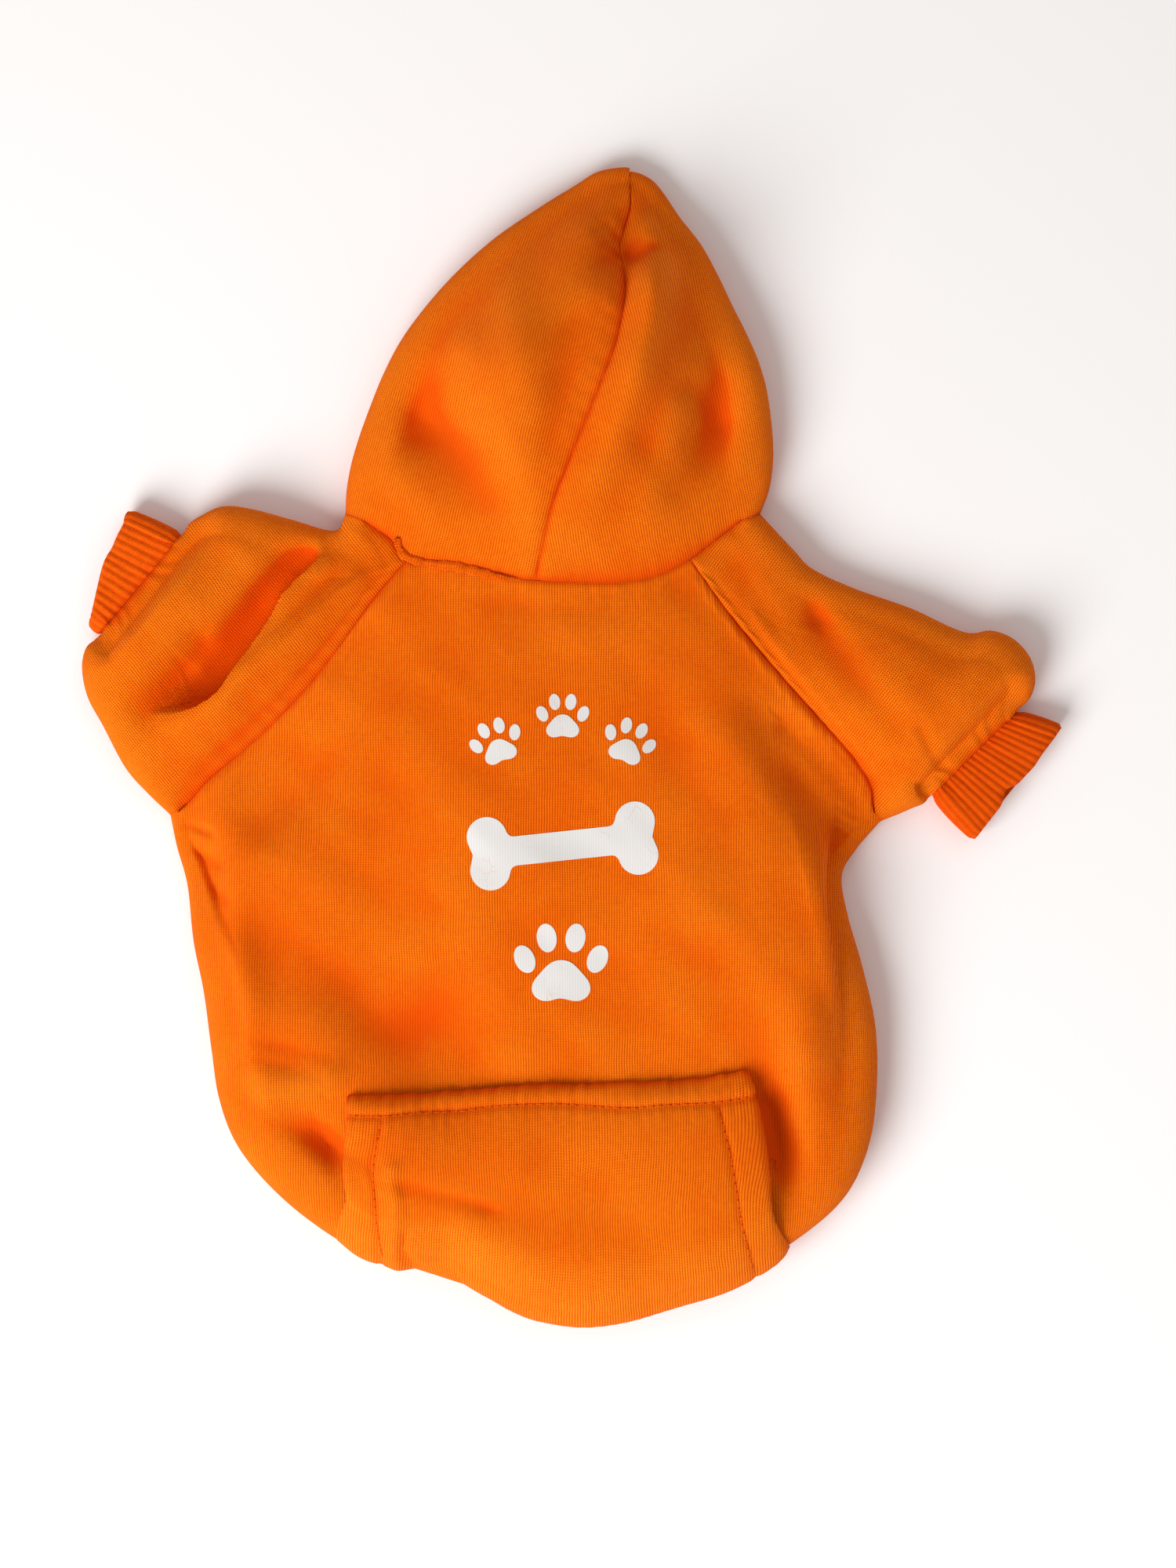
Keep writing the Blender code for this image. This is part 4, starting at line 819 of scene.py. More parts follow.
class RaglanSeam:
    def __init__(self, side, sizes):
        width, length = bodySizes["width"], bodySizes["length"]
        joint = neck.back[side][neck.split[side]]
        self.outward = heading(sizes["underarmTurn"][side])
        self.fold = placed(sizes["underarm"][side], width, length)
        self.tangent = self.fold - self.outward * sizes["fold"]
        back = placedLine(sizes["back"][side], width, length)
        line = smoothLine([joint[:2], *back, self.shortOf(back[-1], sizes["leg"])], sizes["steps"] * fineness)
        line = np.vstack([line, self.tangent])
        low, ways = 2 * sizes["fold"], np.linspace(0.0, 1.0, len(line))
        self.back = raised(line, low + (joint[2] - low) * (1 - ways ** sizes["fall"]))
        self.arc = foldArc(self.tangent, self.outward, sizes["fold"], arcSteps)
        front = placedLine(sizes["front"][side], width, length)
        start = neck.front[side][neckSizes["frontSteps"]]
        self.frontLeg = self.shortOf(front[-1], sizes["leg"])
        line = smoothLine([start[:2], *front, self.frontLeg], sizes["frontSteps"] * sizes["perFrontStep"])
        self.front = raised(np.vstack([line, self.tangent])[::-1], 0.0)

    def shortOf(self, towards, leg):
        return self.tangent + unit(towards - self.tangent) * leg


raglans = {side: RaglanSeam(side, raglanSizes) for side in ("left", "right")}
print("neck and raglan seams laid")

# ---- back panel

pocketSizes = {
    "depth": 10 * mm,
    "seat": 0.6 * mm,
    "turn": 4 * mm,
    "flatter": 0.45,
    # the back's columns that it lies over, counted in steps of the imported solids, and how they ease off
    "underColumns": (12.0, 20.7),
    "underMore": 4,
    "underEase": 3.0,
    "flatReach": 0.13,
    "band": 0.5 * mm,
    "stitchDip": 0.75 * mm,
    "mostMoved": 7 * mm,
    "weaveStart": 180 * mm,
    "flatRows": 84,
    "tailRows": 10,
    "columns": 150,
    # where its sides are looked for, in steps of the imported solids, and how many columns to each side
    "guess": (12.2, 20.8),
    "search": 16,
    "folds": [
        ([(506, 1480), (508, 1540), (512, 1600)], 2.6 * mm, 3.0 * mm, 1.6 * mm),
        ([(517, 1500), (560, 1512), (620, 1530)], 3.0 * mm, 4.5 * mm, -1.6 * mm),
        ([(700, 1462), (735, 1474), (770, 1488)], 7.0 * mm, 7.0 * mm, -1.3 * mm),
        ([(520, 1566), (518, 1585), (527, 1600), (545, 1610), (562, 1620)], 1.3 * mm, 1.3 * mm, -2.2 * mm),
        ([(600, 1560), (680, 1600), (780, 1610)], 7.0 * mm, 6.0 * mm, 1.0 * mm),
        ([(600, 1600), (700, 1640), (820, 1640)], 4.0 * mm, 3.0 * mm, -0.7 * mm),
    ],
    "topEdge": [
        (449, 1394), (500, 1391), (553, 1389), (610, 1385), (667, 1380), (753, 1377), (863, 1374),
        (920, 1366), (952, 1362),
    ],
    "leftEdge": [(446, 1394), (445, 1420), (440, 1470), (437, 1530), (440, 1570), (447, 1596)],
    "rightEdge": [(955, 1364), (964, 1394), (975, 1450), (985, 1530), (992, 1590), (995, 1614)],
    "lowerEdge": [
        (430, 1580), (446, 1594), (458, 1603), (482, 1611), (530, 1619), (556, 1618), (580, 1628),
        (621, 1652), (666, 1677), (700, 1686), (740, 1690), (785, 1686), (832, 1676), (911, 1651),
        (966, 1626), (996, 1606), (1010, 1590),
    ],
    "hem": [
        (445, 1417), (490, 1418), (537, 1414), (587, 1412), (613, 1408), (653, 1404), (707, 1402),
        (753, 1405), (803, 1407), (853, 1403), (913, 1400), (963, 1392),
    ],
    "leftStrip": [(490, 1424), (485, 1450), (481, 1480), (481, 1510), (485, 1560), (490, 1600)],
    "rightStrip": [(913, 1405), (925, 1450), (935, 1500), (943, 1550), (955, 1600), (960, 1622)],
}


class BodyCloth:
    def __init__(self, sizes):
        left, right = raglans["left"], raglans["right"]
        backLeft = neck.back["left"][: neck.split["left"] + 1][::-1]
        backRight = neck.back["right"][1 : neck.split["right"] + 1]
        self.seam = np.concatenate([left.back[1:-1][::-1], backLeft, backRight, right.back[1:-1]])
        self.columns = len(self.seam)
        count = np.arange(self.columns)
        ends = fromEnds(self.columns) / fineness
        outline = placedLine(sizes["outline"], sizes["width"], sizes["length"])
        fine = smoothLine([left.fold, *outline, right.fold], sizes["outlineSteps"])
        even = np.linspace(0.0, 1.0, self.columns)
        crowded = even - sizes["crowding"] * np.sin(2 * math.pi * even) / (2 * math.pi)
        self.fold = readLine(fine, np.arange(len(fine)), crowded * sizes["outlineSteps"])
        self.outward = lineNormals(self.fold)
        wings, reach = ((left, count), (right, self.columns - 1 - count)), sizes["leanCells"] * fineness
        for wing, near in wings:
            pull = np.where(near < reach, sizes["lean"] * (reach - near) / np.maximum(near, 0.02), 0.0)
            self.outward = unit(self.outward + pull[:, None] * wing.outward)
        grown = smoothStep(ends / sizes["growCells"])
        self.radius = raglanSizes["fold"] + (sizes["fold"] - raglanSizes["fold"]) * grown
        self.tangent = self.fold - self.outward * self.radius[:, None]
        (lead, trail), more, ease = (pocketSizes[key] for key in ("underColumns", "underMore", "underEase"))
        column = count / fineness
        near = smoothStep((column - lead + more) / ease) * smoothStep((trail + more - column) / ease)
        self.floor = (pocketSizes["seat"] + cloth["fleece"] + solidGap) * near
        hem = smoothStep((ends - sizes["hemCells"][0]) / sizes["hemCells"][1])
        self.turn = sizes["sideTurn"] * grown + (sizes["hemTurn"] - sizes["sideTurn"]) * hem
        self.rim = self.tangent - self.outward * self.turn[:, None]
        for wing, near in wings:
            share = np.clip(1 - near / fineness, 0, 1)[:, None]
            self.rim = self.rim * (1 - share) + wing.frontLeg * share
        self.lay(sizes)

    def lay(self, sizes):
        rows = sizes["backRows"]
        ways = np.linspace(0.0, 1.0, rows + 1) ** sizes["rowEase"]
        a = ways[:, None]
        lengths = np.linalg.norm(self.tangent - self.seam[:, :2], axis=1)
        flat = between(self.seam[None, :, :2], self.tangent[None], a)
        level = (1 - a) * self.seam[None, :, 2] + a * (self.floor + 2 * self.radius)[None]
        full = np.minimum(1.0, lengths / lengths.max() * sizes["riseReach"])
        level += sizes["rise"] * full[None] * np.sin(math.pi * a) ** sizes["riseShape"]
        inside = (1 - (2 * a - 1) ** 6) * np.minimum(1.0, lengths / sizes["dentReach"])[None]
        dents = broadHeights(sizes["dents"], flat[..., 0], flat[..., 1], sizes["width"], sizes["length"])
        level += inside * dents
        top = np.concatenate([flat, level[..., None]], axis=2)
        places = zip(self.tangent, self.outward, self.radius, self.floor)
        arcs = [foldArc(place, out, radius, arcSteps, floor) for place, out, radius, floor in places]
        arc, arcWeave = (np.array([a[k] for a in arcs]).transpose(1, 0, 2) for k in (0, 2))
        k = (np.arange(1, sizes["tailRows"] + 1) / sizes["tailRows"])[:, None]
        tail = self.tangent[None] + (self.rim - self.tangent)[None] * k[..., None]
        tailLevel = self.floor[None] * (1 - smoothStep(k * 1.2 - 0.2))
        tail = np.concatenate([tail, np.broadcast_to(tailLevel, tail.shape[:2])[..., None]], axis=2)
        self.plain = easedJoints(np.concatenate([top, arc[1:], tail]), [rows], sizes["easeRows"], 0)
        self.weave = np.concatenate([flat, arcWeave[1:], tail[..., :2]])
        self.weave = easedJoints(self.weave, [rows], sizes["easeRows"], 0)
        self.normals = gridNormals(self.plain)
        self.rows = rows


body = BodyCloth(bodySizes)


def makeBackPanel(sizes):
    outer = body.plain.copy()
    x, y = body.plain[..., 0], body.plain[..., 1]
    distance = walked(body.plain, 0)
    along = walked(body.plain, 1)[0][None]
    ease = np.zeros(outer.shape[:2])
    ways = np.linspace(0.0, 1.0, body.rows + 1) ** sizes["rowEase"]
    ease[: body.rows + 1] = smoothStep((1 - ways) * 9)[:, None]
    ease *= smoothStep(distance / (4 * mm))
    ease *= smoothStep(fromEnds(body.columns) / (1.5 * fineness))[None]
    lift = ease * (foldHeights(sizes["folds"], x, y) + unevenness(x, y, 3, 0.45 * mm))
    top = np.arange(outer.shape[0])[:, None] <= body.rows
    lift = lift + np.where(top, seamDip(distance) + puckers(distance, along, 5, 0.16 * mm), 0.0)
    hemDistance = np.linalg.norm(outer[..., :2] - body.rim[None], axis=2)
    outer[..., 2] += np.where(top, lift, 0.0)
    inner = outer - cloth["fleece"] * gridNormals(outer)
    inner[0], inner[-1] = onTop(outer[0]), below(outer[-1])
    # painted shade along the seam and round the hem
    paintedShade = 0.6 * bell(distance, 0.8 * mm) * top + 0.4 * bell(hemDistance, 1.2 * mm) * ~top
    return addSheet("backPanel", outer, inner, body.weave, paintedShade)


backPanel = makeBackPanel(bodySizes)
print("back panel made")

# ---- belly panel, under the back

bellySizes = {"columns": 60, "sideColumns": 6, "sideRows": 48, "uneven": 0.25 * mm}


def makeBellyPanel(sizes):
    rails = {}
    last = sizes["sideColumns"] * fineness
    for side, sense in (("left", 1.0), ("right", -1.0)):
        raglan = raglans[side].front[::-1][:-1, :2]
        seam = body.rim[: last + 1] if side == "left" else body.rim[::-1][: last + 1]
        rail = np.concatenate([raglan, respaced(seam, sizes["sideRows"])[1:]])
        rail[:, 0] += sense * 2 * cloth["gap"]
        rails[side] = rail
    throat = placed(neckSizes["throat"], neckSizes["width"], neckSizes["sag"])
    count = sizes["columns"]
    top = smoothLine([rails["left"][0], throat, rails["right"][0]], count)
    ways = np.linspace(0.0, 1.0, count + 1)
    steps = len(rails["left"])
    grid = between(rails["left"][:, None], rails["right"][:, None], ways[None])
    straight = between(rails["left"][0], rails["right"][0], ways)
    fade = np.clip(1 - 3 * np.arange(steps) / steps, 0, 1)[:, None, None] ** 2
    grid = grid + (top - straight)[None] * fade
    grid[0, :, 1] -= 2 * cloth["gap"]
    outer = np.concatenate([grid, np.zeros(grid.shape[:2] + (1,))], axis=2)
    edge = np.minimum(fromEnds(steps)[:, None] / 6.0, fromEnds(count + 1)[None] / 3.0)
    inner = below(outer)
    inner[..., 2] += smoothStep(edge) * np.abs(unevenness(grid[..., 0], grid[..., 1], 11, sizes["uneven"]))
    # painted shade round the belly panel's edges
    paintedShade = bell(edge, 1.0)
    return addSheet("bellyPanel", outer, inner, grid, paintedShade), outer[-1]


bellyPanel, bellyHem = makeBellyPanel(bellySizes)

# ---- ribbed hem band, round the waist opening

hemSizes = {
    "band": 20 * mm,
    "ribs": 2.6 * mm,
    "depth": 0.5 * mm,
    "deepest": 0.45,
    "roll": 0.7 * mm,
    "rows": 12,
    "perRib": 8,
    "sideColumns": 6,
}


def makeHemBand(sizes):
    first = sizes["sideColumns"] * fineness
    rim = raised(body.rim[first : body.columns - first], 0.0)
    loop = np.concatenate([rim, bellyHem[::-1][1:-1]])
    loop = np.vstack([loop, loop[:1]])
    length = np.linalg.norm(np.diff(loop, axis=0), axis=1).sum()
    count = int(length / sizes["ribs"]) * sizes["perRib"]
    loop = respaced(loop, count)[:-1]
    middle, half = (loop.min(axis=0) + loop.max(axis=0))[:2] / 2, np.ptp(loop, axis=0)[:2] / 2
    seam, rows = 3 * cloth["gap"], []
    for k in range(sizes["rows"] + 1):
        width = seam + (sizes["band"] - seam) * k / sizes["rows"]
        row = loop.copy()
        row[:, :2] = middle + (loop[:, :2] - middle) * (1 - width / half)
        rows.append(row)
    rows = np.array(rows)
    rib = 0.5 - 0.5 * np.cos(2 * math.pi * np.arange(count) / sizes["perRib"])
    across = np.linspace(0.0, 1.0, sizes["rows"] + 1)[:, None]
    roll = sizes["roll"] * (np.exp(-across * 14) + np.exp(-(1 - across) * 10))
    furrow = np.minimum((sizes["depth"] * rib)[None] + roll, sizes["deepest"] * cloth["rib"])
    under, over = rows.copy(), rows.copy()
    under[..., 2], over[..., 2] = furrow, cloth["rib"] - furrow
    weave = np.broadcast_arrays(np.linspace(0, length, count)[None], across * sizes["band"])
    weave = np.stack(weave, axis=-1)
    # painted shade in the furrows between the ribs
    paintedShade = np.broadcast_to(rib[None], rows.shape[:2]) * 0.8
    return addSheet("hemBand", under, over, weave, paintedShade, wrap=True)


hemBand = makeHemBand(hemSizes)
print("belly panel and hem band made")

# ---- hood

hoodSizes = {
    "width": 136 * mm,
    "length": 111 * mm,
    "fold": 9.5 * mm,
    "height": 38 * mm,
    "rows": 132,
    "cadRows": 12,
    "lean": 0.35,
    "easeColumns": 5,
    "seamEase": 1.3,
    "swellShape": 1.2,
    "uneven": 0.4 * mm,
    "chance": {"left": 21, "right": 22},
    # the gathers near the left panel's tip: their place, reach and how much stronger they are
    "tipPinch": (0.86, 0.07, 3.0),
    "grain": {"left": -14, "right": 12},
    "seam": [
        (0.000, 0.011), (0.035, 0.124), (0.073, 0.236), (0.110, 0.349), (0.145, 0.462),
        (0.165, 0.574), (0.169, 0.642), (0.163, 0.709), (0.156, 0.759), (0.169, 0.818),
        (0.182, 0.872), (0.180, 0.912),
    ],
    "side": {
        "left": [
            (-0.484, 0.068), (-0.473, 0.142), (-0.455, 0.218), (-0.428, 0.309), (-0.396, 0.405),
            (-0.354, 0.502), (-0.297, 0.597), (-0.226, 0.694), (-0.138, 0.791), (-0.031, 0.883),
            (0.055, 0.950), (0.110, 0.993), (0.150, 1.000), (0.174, 0.986),
        ],
        "right": [
            (0.506, 0.061), (0.516, 0.131), (0.517, 0.203), (0.510, 0.293), (0.499, 0.372),
            (0.479, 0.450), (0.450, 0.529), (0.424, 0.592), (0.389, 0.682), (0.349, 0.773),
            (0.299, 0.854), (0.259, 0.928), (0.226, 0.975), (0.202, 0.988), (0.176, 0.986),
        ],
    },
    "faceRim": {
        "left": [
            (-0.092, -0.038), (-0.171, 0.034), (-0.220, 0.124), (-0.240, 0.232), (-0.224, 0.349),
            (-0.174, 0.473), (-0.092, 0.592), (0.000, 0.705), (0.092, 0.800), (0.160, 0.864),
        ],
        "right": [
            (0.086, -0.043), (0.174, 0.023), (0.240, 0.113), (0.270, 0.225), (0.277, 0.349),
            (0.270, 0.473), (0.251, 0.592), (0.226, 0.698), (0.200, 0.790), (0.182, 0.864),
        ],
    },
    # way from neck to tip, back seam's height, swell left and right, fold
    "sections": [
        (0.00, 0.55, 0.00, 0.00, 0.75), (0.12, 0.78, 0.10, 0.10, 0.95),
        (0.30, 0.92, 0.18, 0.18, 1.00), (0.50, 0.98, 0.20, 0.20, 1.00),
        (0.68, 0.86, 0.18, 0.18, 0.90), (0.80, 0.60, 0.18, 0.12, 0.72),
        (0.92, 0.38, 0.08, 0.03, 0.52), (1.00, 0.29, 0.00, 0.00, 0.50),
    ],
    "dents": [
        (-0.245, -0.190, 40 * mm, 10 * mm, 124, -10.0 * mm),
        (-0.070, -0.330, 46 * mm, 11 * mm, 100, 5.0 * mm),
        (-0.400, -0.250, 30 * mm, 8 * mm, 105, 3.0 * mm),
        (0.225, -0.450, 52 * mm, 8 * mm, 74, 6.0 * mm),
        (0.385, -0.260, 34 * mm, 9 * mm, 68, -9.0 * mm),
        (0.185, -0.740, 10 * mm, 5.5 * mm, 8, -3.5 * mm),
    ],
    "folds": {
        "left": [
            ([(618, 324), (580, 350), (550, 380), (526, 415), (508, 445)], 2.2 * mm, 3.4 * mm, -1.1 * mm),
            ([(774, 290), (760, 300)], 1.4 * mm, 1.4 * mm, -0.7 * mm),
            ([(790, 300), (768, 316)], 1.4 * mm, 1.4 * mm, -0.8 * mm),
            ([(792, 330), (770, 340)], 1.6 * mm, 1.6 * mm, -0.6 * mm),
            ([(560, 390), (606, 470), (640, 560), (668, 660)], 7.0 * mm, 8.0 * mm, 2.2 * mm),
            ([(476, 500), (514, 566), (554, 630), (596, 694)], 9.0 * mm, 10.0 * mm, -5.0 * mm),
            ([(735, 420), (715, 520), (700, 620)], 5.0 * mm, 5.0 * mm, -1.0 * mm),
        ],
        "right": [
            ([(794, 334), (812, 330), (832, 319)], 1.6 * mm, 2.0 * mm, -1.5 * mm),
            ([(918, 400), (950, 470)], 7.0 * mm, 6.0 * mm, -1.6 * mm),
            ([(880, 500), (940, 552)], 5.0 * mm, 5.0 * mm, -1.8 * mm),
            ([(820, 570), (862, 632)], 6.0 * mm, 6.0 * mm, -1.6 * mm),
            ([(834, 290), (824, 400), (790, 520), (752, 620), (732, 700)], 5.5 * mm, 5.5 * mm, 2.0 * mm),
            ([(870, 330), (864, 424), (836, 520), (806, 600), (792, 680)], 6.5 * mm, 7.0 * mm, -2.2 * mm),
            ([(960, 420), (940, 560), (900, 650)], 9.0 * mm, 9.0 * mm, -2.6 * mm),
        ],
    },
}


def makeHoodPanel(side, sizes):
    inward = 1.0 if side == "left" else -1.0
    width, length, rows = sizes["width"], sizes["length"], sizes["rows"]
    foot = neck.back[side][0]

    def upFrom(start, points):
        return smoothLine([start[:2], *placedLine([(a, -d) for a, d in points], width, length)], rows)

    seam = upFrom(foot, sizes["seam"])
    edge = upFrom(neck.corner[side], sizes["side"][side])
    rim = upFrom(neck.front[side][-1], sizes["faceRim"][side])
    way = np.linspace(0.0, 1.0, rows + 1)
    perRow = rows / sizes["cadRows"]
    count = np.arange(rows + 1)
    outward = lineNormals(edge) * -inward
    reach = 2 * perRow
    pull = np.where(count < reach, sizes["lean"] * (reach - count) / np.maximum(count, 0.01), 0.0)
    outward = unit(outward + pull[:, None] * neck.outward[side])
    tip = smoothStep((way - 1 + 1 / sizes["cadRows"]) * sizes["cadRows"])[:, None]
    outward = unit(outward * (1 - tip) + np.array([0.0, 1.0]) * tip)
    table = np.array(sizes["sections"])
    high, swellLeft, swellRight, fold = (smoothTable(table[:, 0], table[:, k], way) for k in range(1, 5))
    radius = sizes["fold"] * fold
    radius[0] = neckSizes["fold"]
    tangent = edge - outward * radius[:, None]
    tangent[:, 0] = tangent[:, 0] * (1 - tip[:, 0]) + seam[:, 0] * tip[:, 0]
    ridge = sizes["height"] * high
    swell = sizes["height"] * (swellLeft if side == "left" else swellRight)
    follow = np.clip(1 - 3 * way, 0, 1) ** 2
    flatSteps = len(neck.back[side]) - 1
    even = np.linspace(0.0, 1.0, flatSteps + 1)
    eased = smoothStep(way / 0.12)[:, None]
    s = even[None] * (1 - eased) + (even**sizes["seamEase"])[None] * eased
    flat = between(seam[:, None], tangent[:, None], s)
    chord = between(foot[:2], neck.tangent[side], s)
    flat = flat + (neck.back[side][None, :, :2] - chord) * follow[:, None, None]
    level = (1 - s) * ridge[:, None] + s * 2 * radius[:, None]
    level += swell[:, None] * np.sin(math.pi * np.clip(s, 0, 1)) ** sizes["swellShape"]
    weight = (1 - (2 * s - 1) ** 8) * np.minimum(1.0, np.minimum(4 * way, 6 * (1 - way)))[:, None]
    level += weight * broadHeights(sizes["dents"], flat[..., 0], flat[..., 1], width, length)
    top = np.concatenate([flat, level[..., None]], axis=2)
    top[0] = neck.back[side]
    arcs = [foldArc(tangent[i], outward[i], radius[i], arcSteps) for i in range(rows + 1)]
    arcs[0] = neck.arc[side]
    arc, arcWeave = np.array([a[0] for a in arcs]), np.array([a[2] for a in arcs])
    tailSteps = len(neck.front[side]) - 1
    t = np.linspace(0.0, 1.0, tailSteps + 1)[1:]
    tail = between(tangent[:, None], rim[:, None], t[None])
    chord = between(neck.tangent[side], rim[0], t)
    tail = tail + (neck.front[side][1:, :2] - chord)[None] * follow[:, None, None]
    tail = np.concatenate([tail, np.zeros(tail.shape[:2] + (1,))], axis=2)
    outer = np.concatenate([top, arc[:, 1:], tail], axis=1)
    outer[0, flatSteps + arcSteps :] = neck.front[side]
    outer = easedJoints(outer, [flatSteps], sizes["easeColumns"], 1)
    weave = np.concatenate([top[..., :2], arcWeave[:, 1:], tail[..., :2]], axis=1)
    weave = easedJoints(weave, [flatSteps], sizes["easeColumns"], 1)
    isTop = (np.arange(outer.shape[1]) <= flatSteps)[None]
    fromNeck, fromSeam = walked(outer, 0), walked(outer, 1)
    alongSeam, alongNeck = fromNeck[:, :1], fromSeam[:1]
    ease = np.zeros(outer.shape[:2])
    ease[:, : flatSteps + 1] = weight * smoothStep((1 - s) * 8)
    x, y = outer[..., 0], outer[..., 1]
    ease *= smoothStep(fromSeam / (3 * mm))
    lift = ease * foldHeights(sizes["folds"][side], x, y)
    lift += ease * unevenness(x, y, sizes["chance"][side], sizes["uneven"])
    lift += np.where(
        isTop, seamDip(fromNeck) * smoothStep(fromSeam / (1 * mm) + 0.3) + seamDip(fromSeam), 0.0
    )
    place, reach, more = sizes["tipPinch"]
    pinch = 1 + more * bell(way - place, reach)[:, None] * (side == "left")
    gathers = puckers(fromSeam, alongSeam, 8, 0.13 * mm, 6.5 * mm) * pinch * smoothStep(fromNeck / (6 * mm))
    lift += np.where(isTop, gathers, 0.0)
    lift += np.where(isTop, puckers(fromNeck, alongNeck, 9, 0.15 * mm), 0.0)
    outer[..., 2] += lift
    inner = outer - cloth["fleece"] * gridNormals(outer)
    inner[0, : flatSteps + 1] = onTop(outer[0, : flatSteps + 1])
    inner[0, flatSteps : flatSteps + arcSteps + 1] = neck.arc[side][1]
    inner[0, flatSteps + arcSteps :] = below(outer[0, flatSteps + arcSteps :])
    inner[:, 0], inner[:, -1] = onTop(outer[:, 0]), below(outer[:, -1])
    limit = inward * outer[:, :1, 0]
    inner[:, 1:flatSteps, 0] = inward * np.minimum(inward * inner[:, 1:flatSteps, 0], limit)
    for grid in (outer, inner):
        grid[0, :, 1] += cloth["gap"]
        grid[:, 0, 0] -= inward * cloth["gap"] / 2
        grid[-1, :, 0] -= inward * cloth["gap"] / 2
        grid[0, -1, 0] -= inward * cloth["gap"] / 2
    # painted shade along the neck and back seams
    paintedShade = 0.7 * np.maximum(bell(fromNeck, 0.9 * mm), bell(fromSeam, 0.9 * mm))
    return addSheet("hood" + side.title(), outer, inner, weave, paintedShade, sizes["grain"][side])


hoods = {side: makeHoodPanel(side, hoodSizes) for side in ("left", "right")}
print("hood panels made")

# ---- sleeves

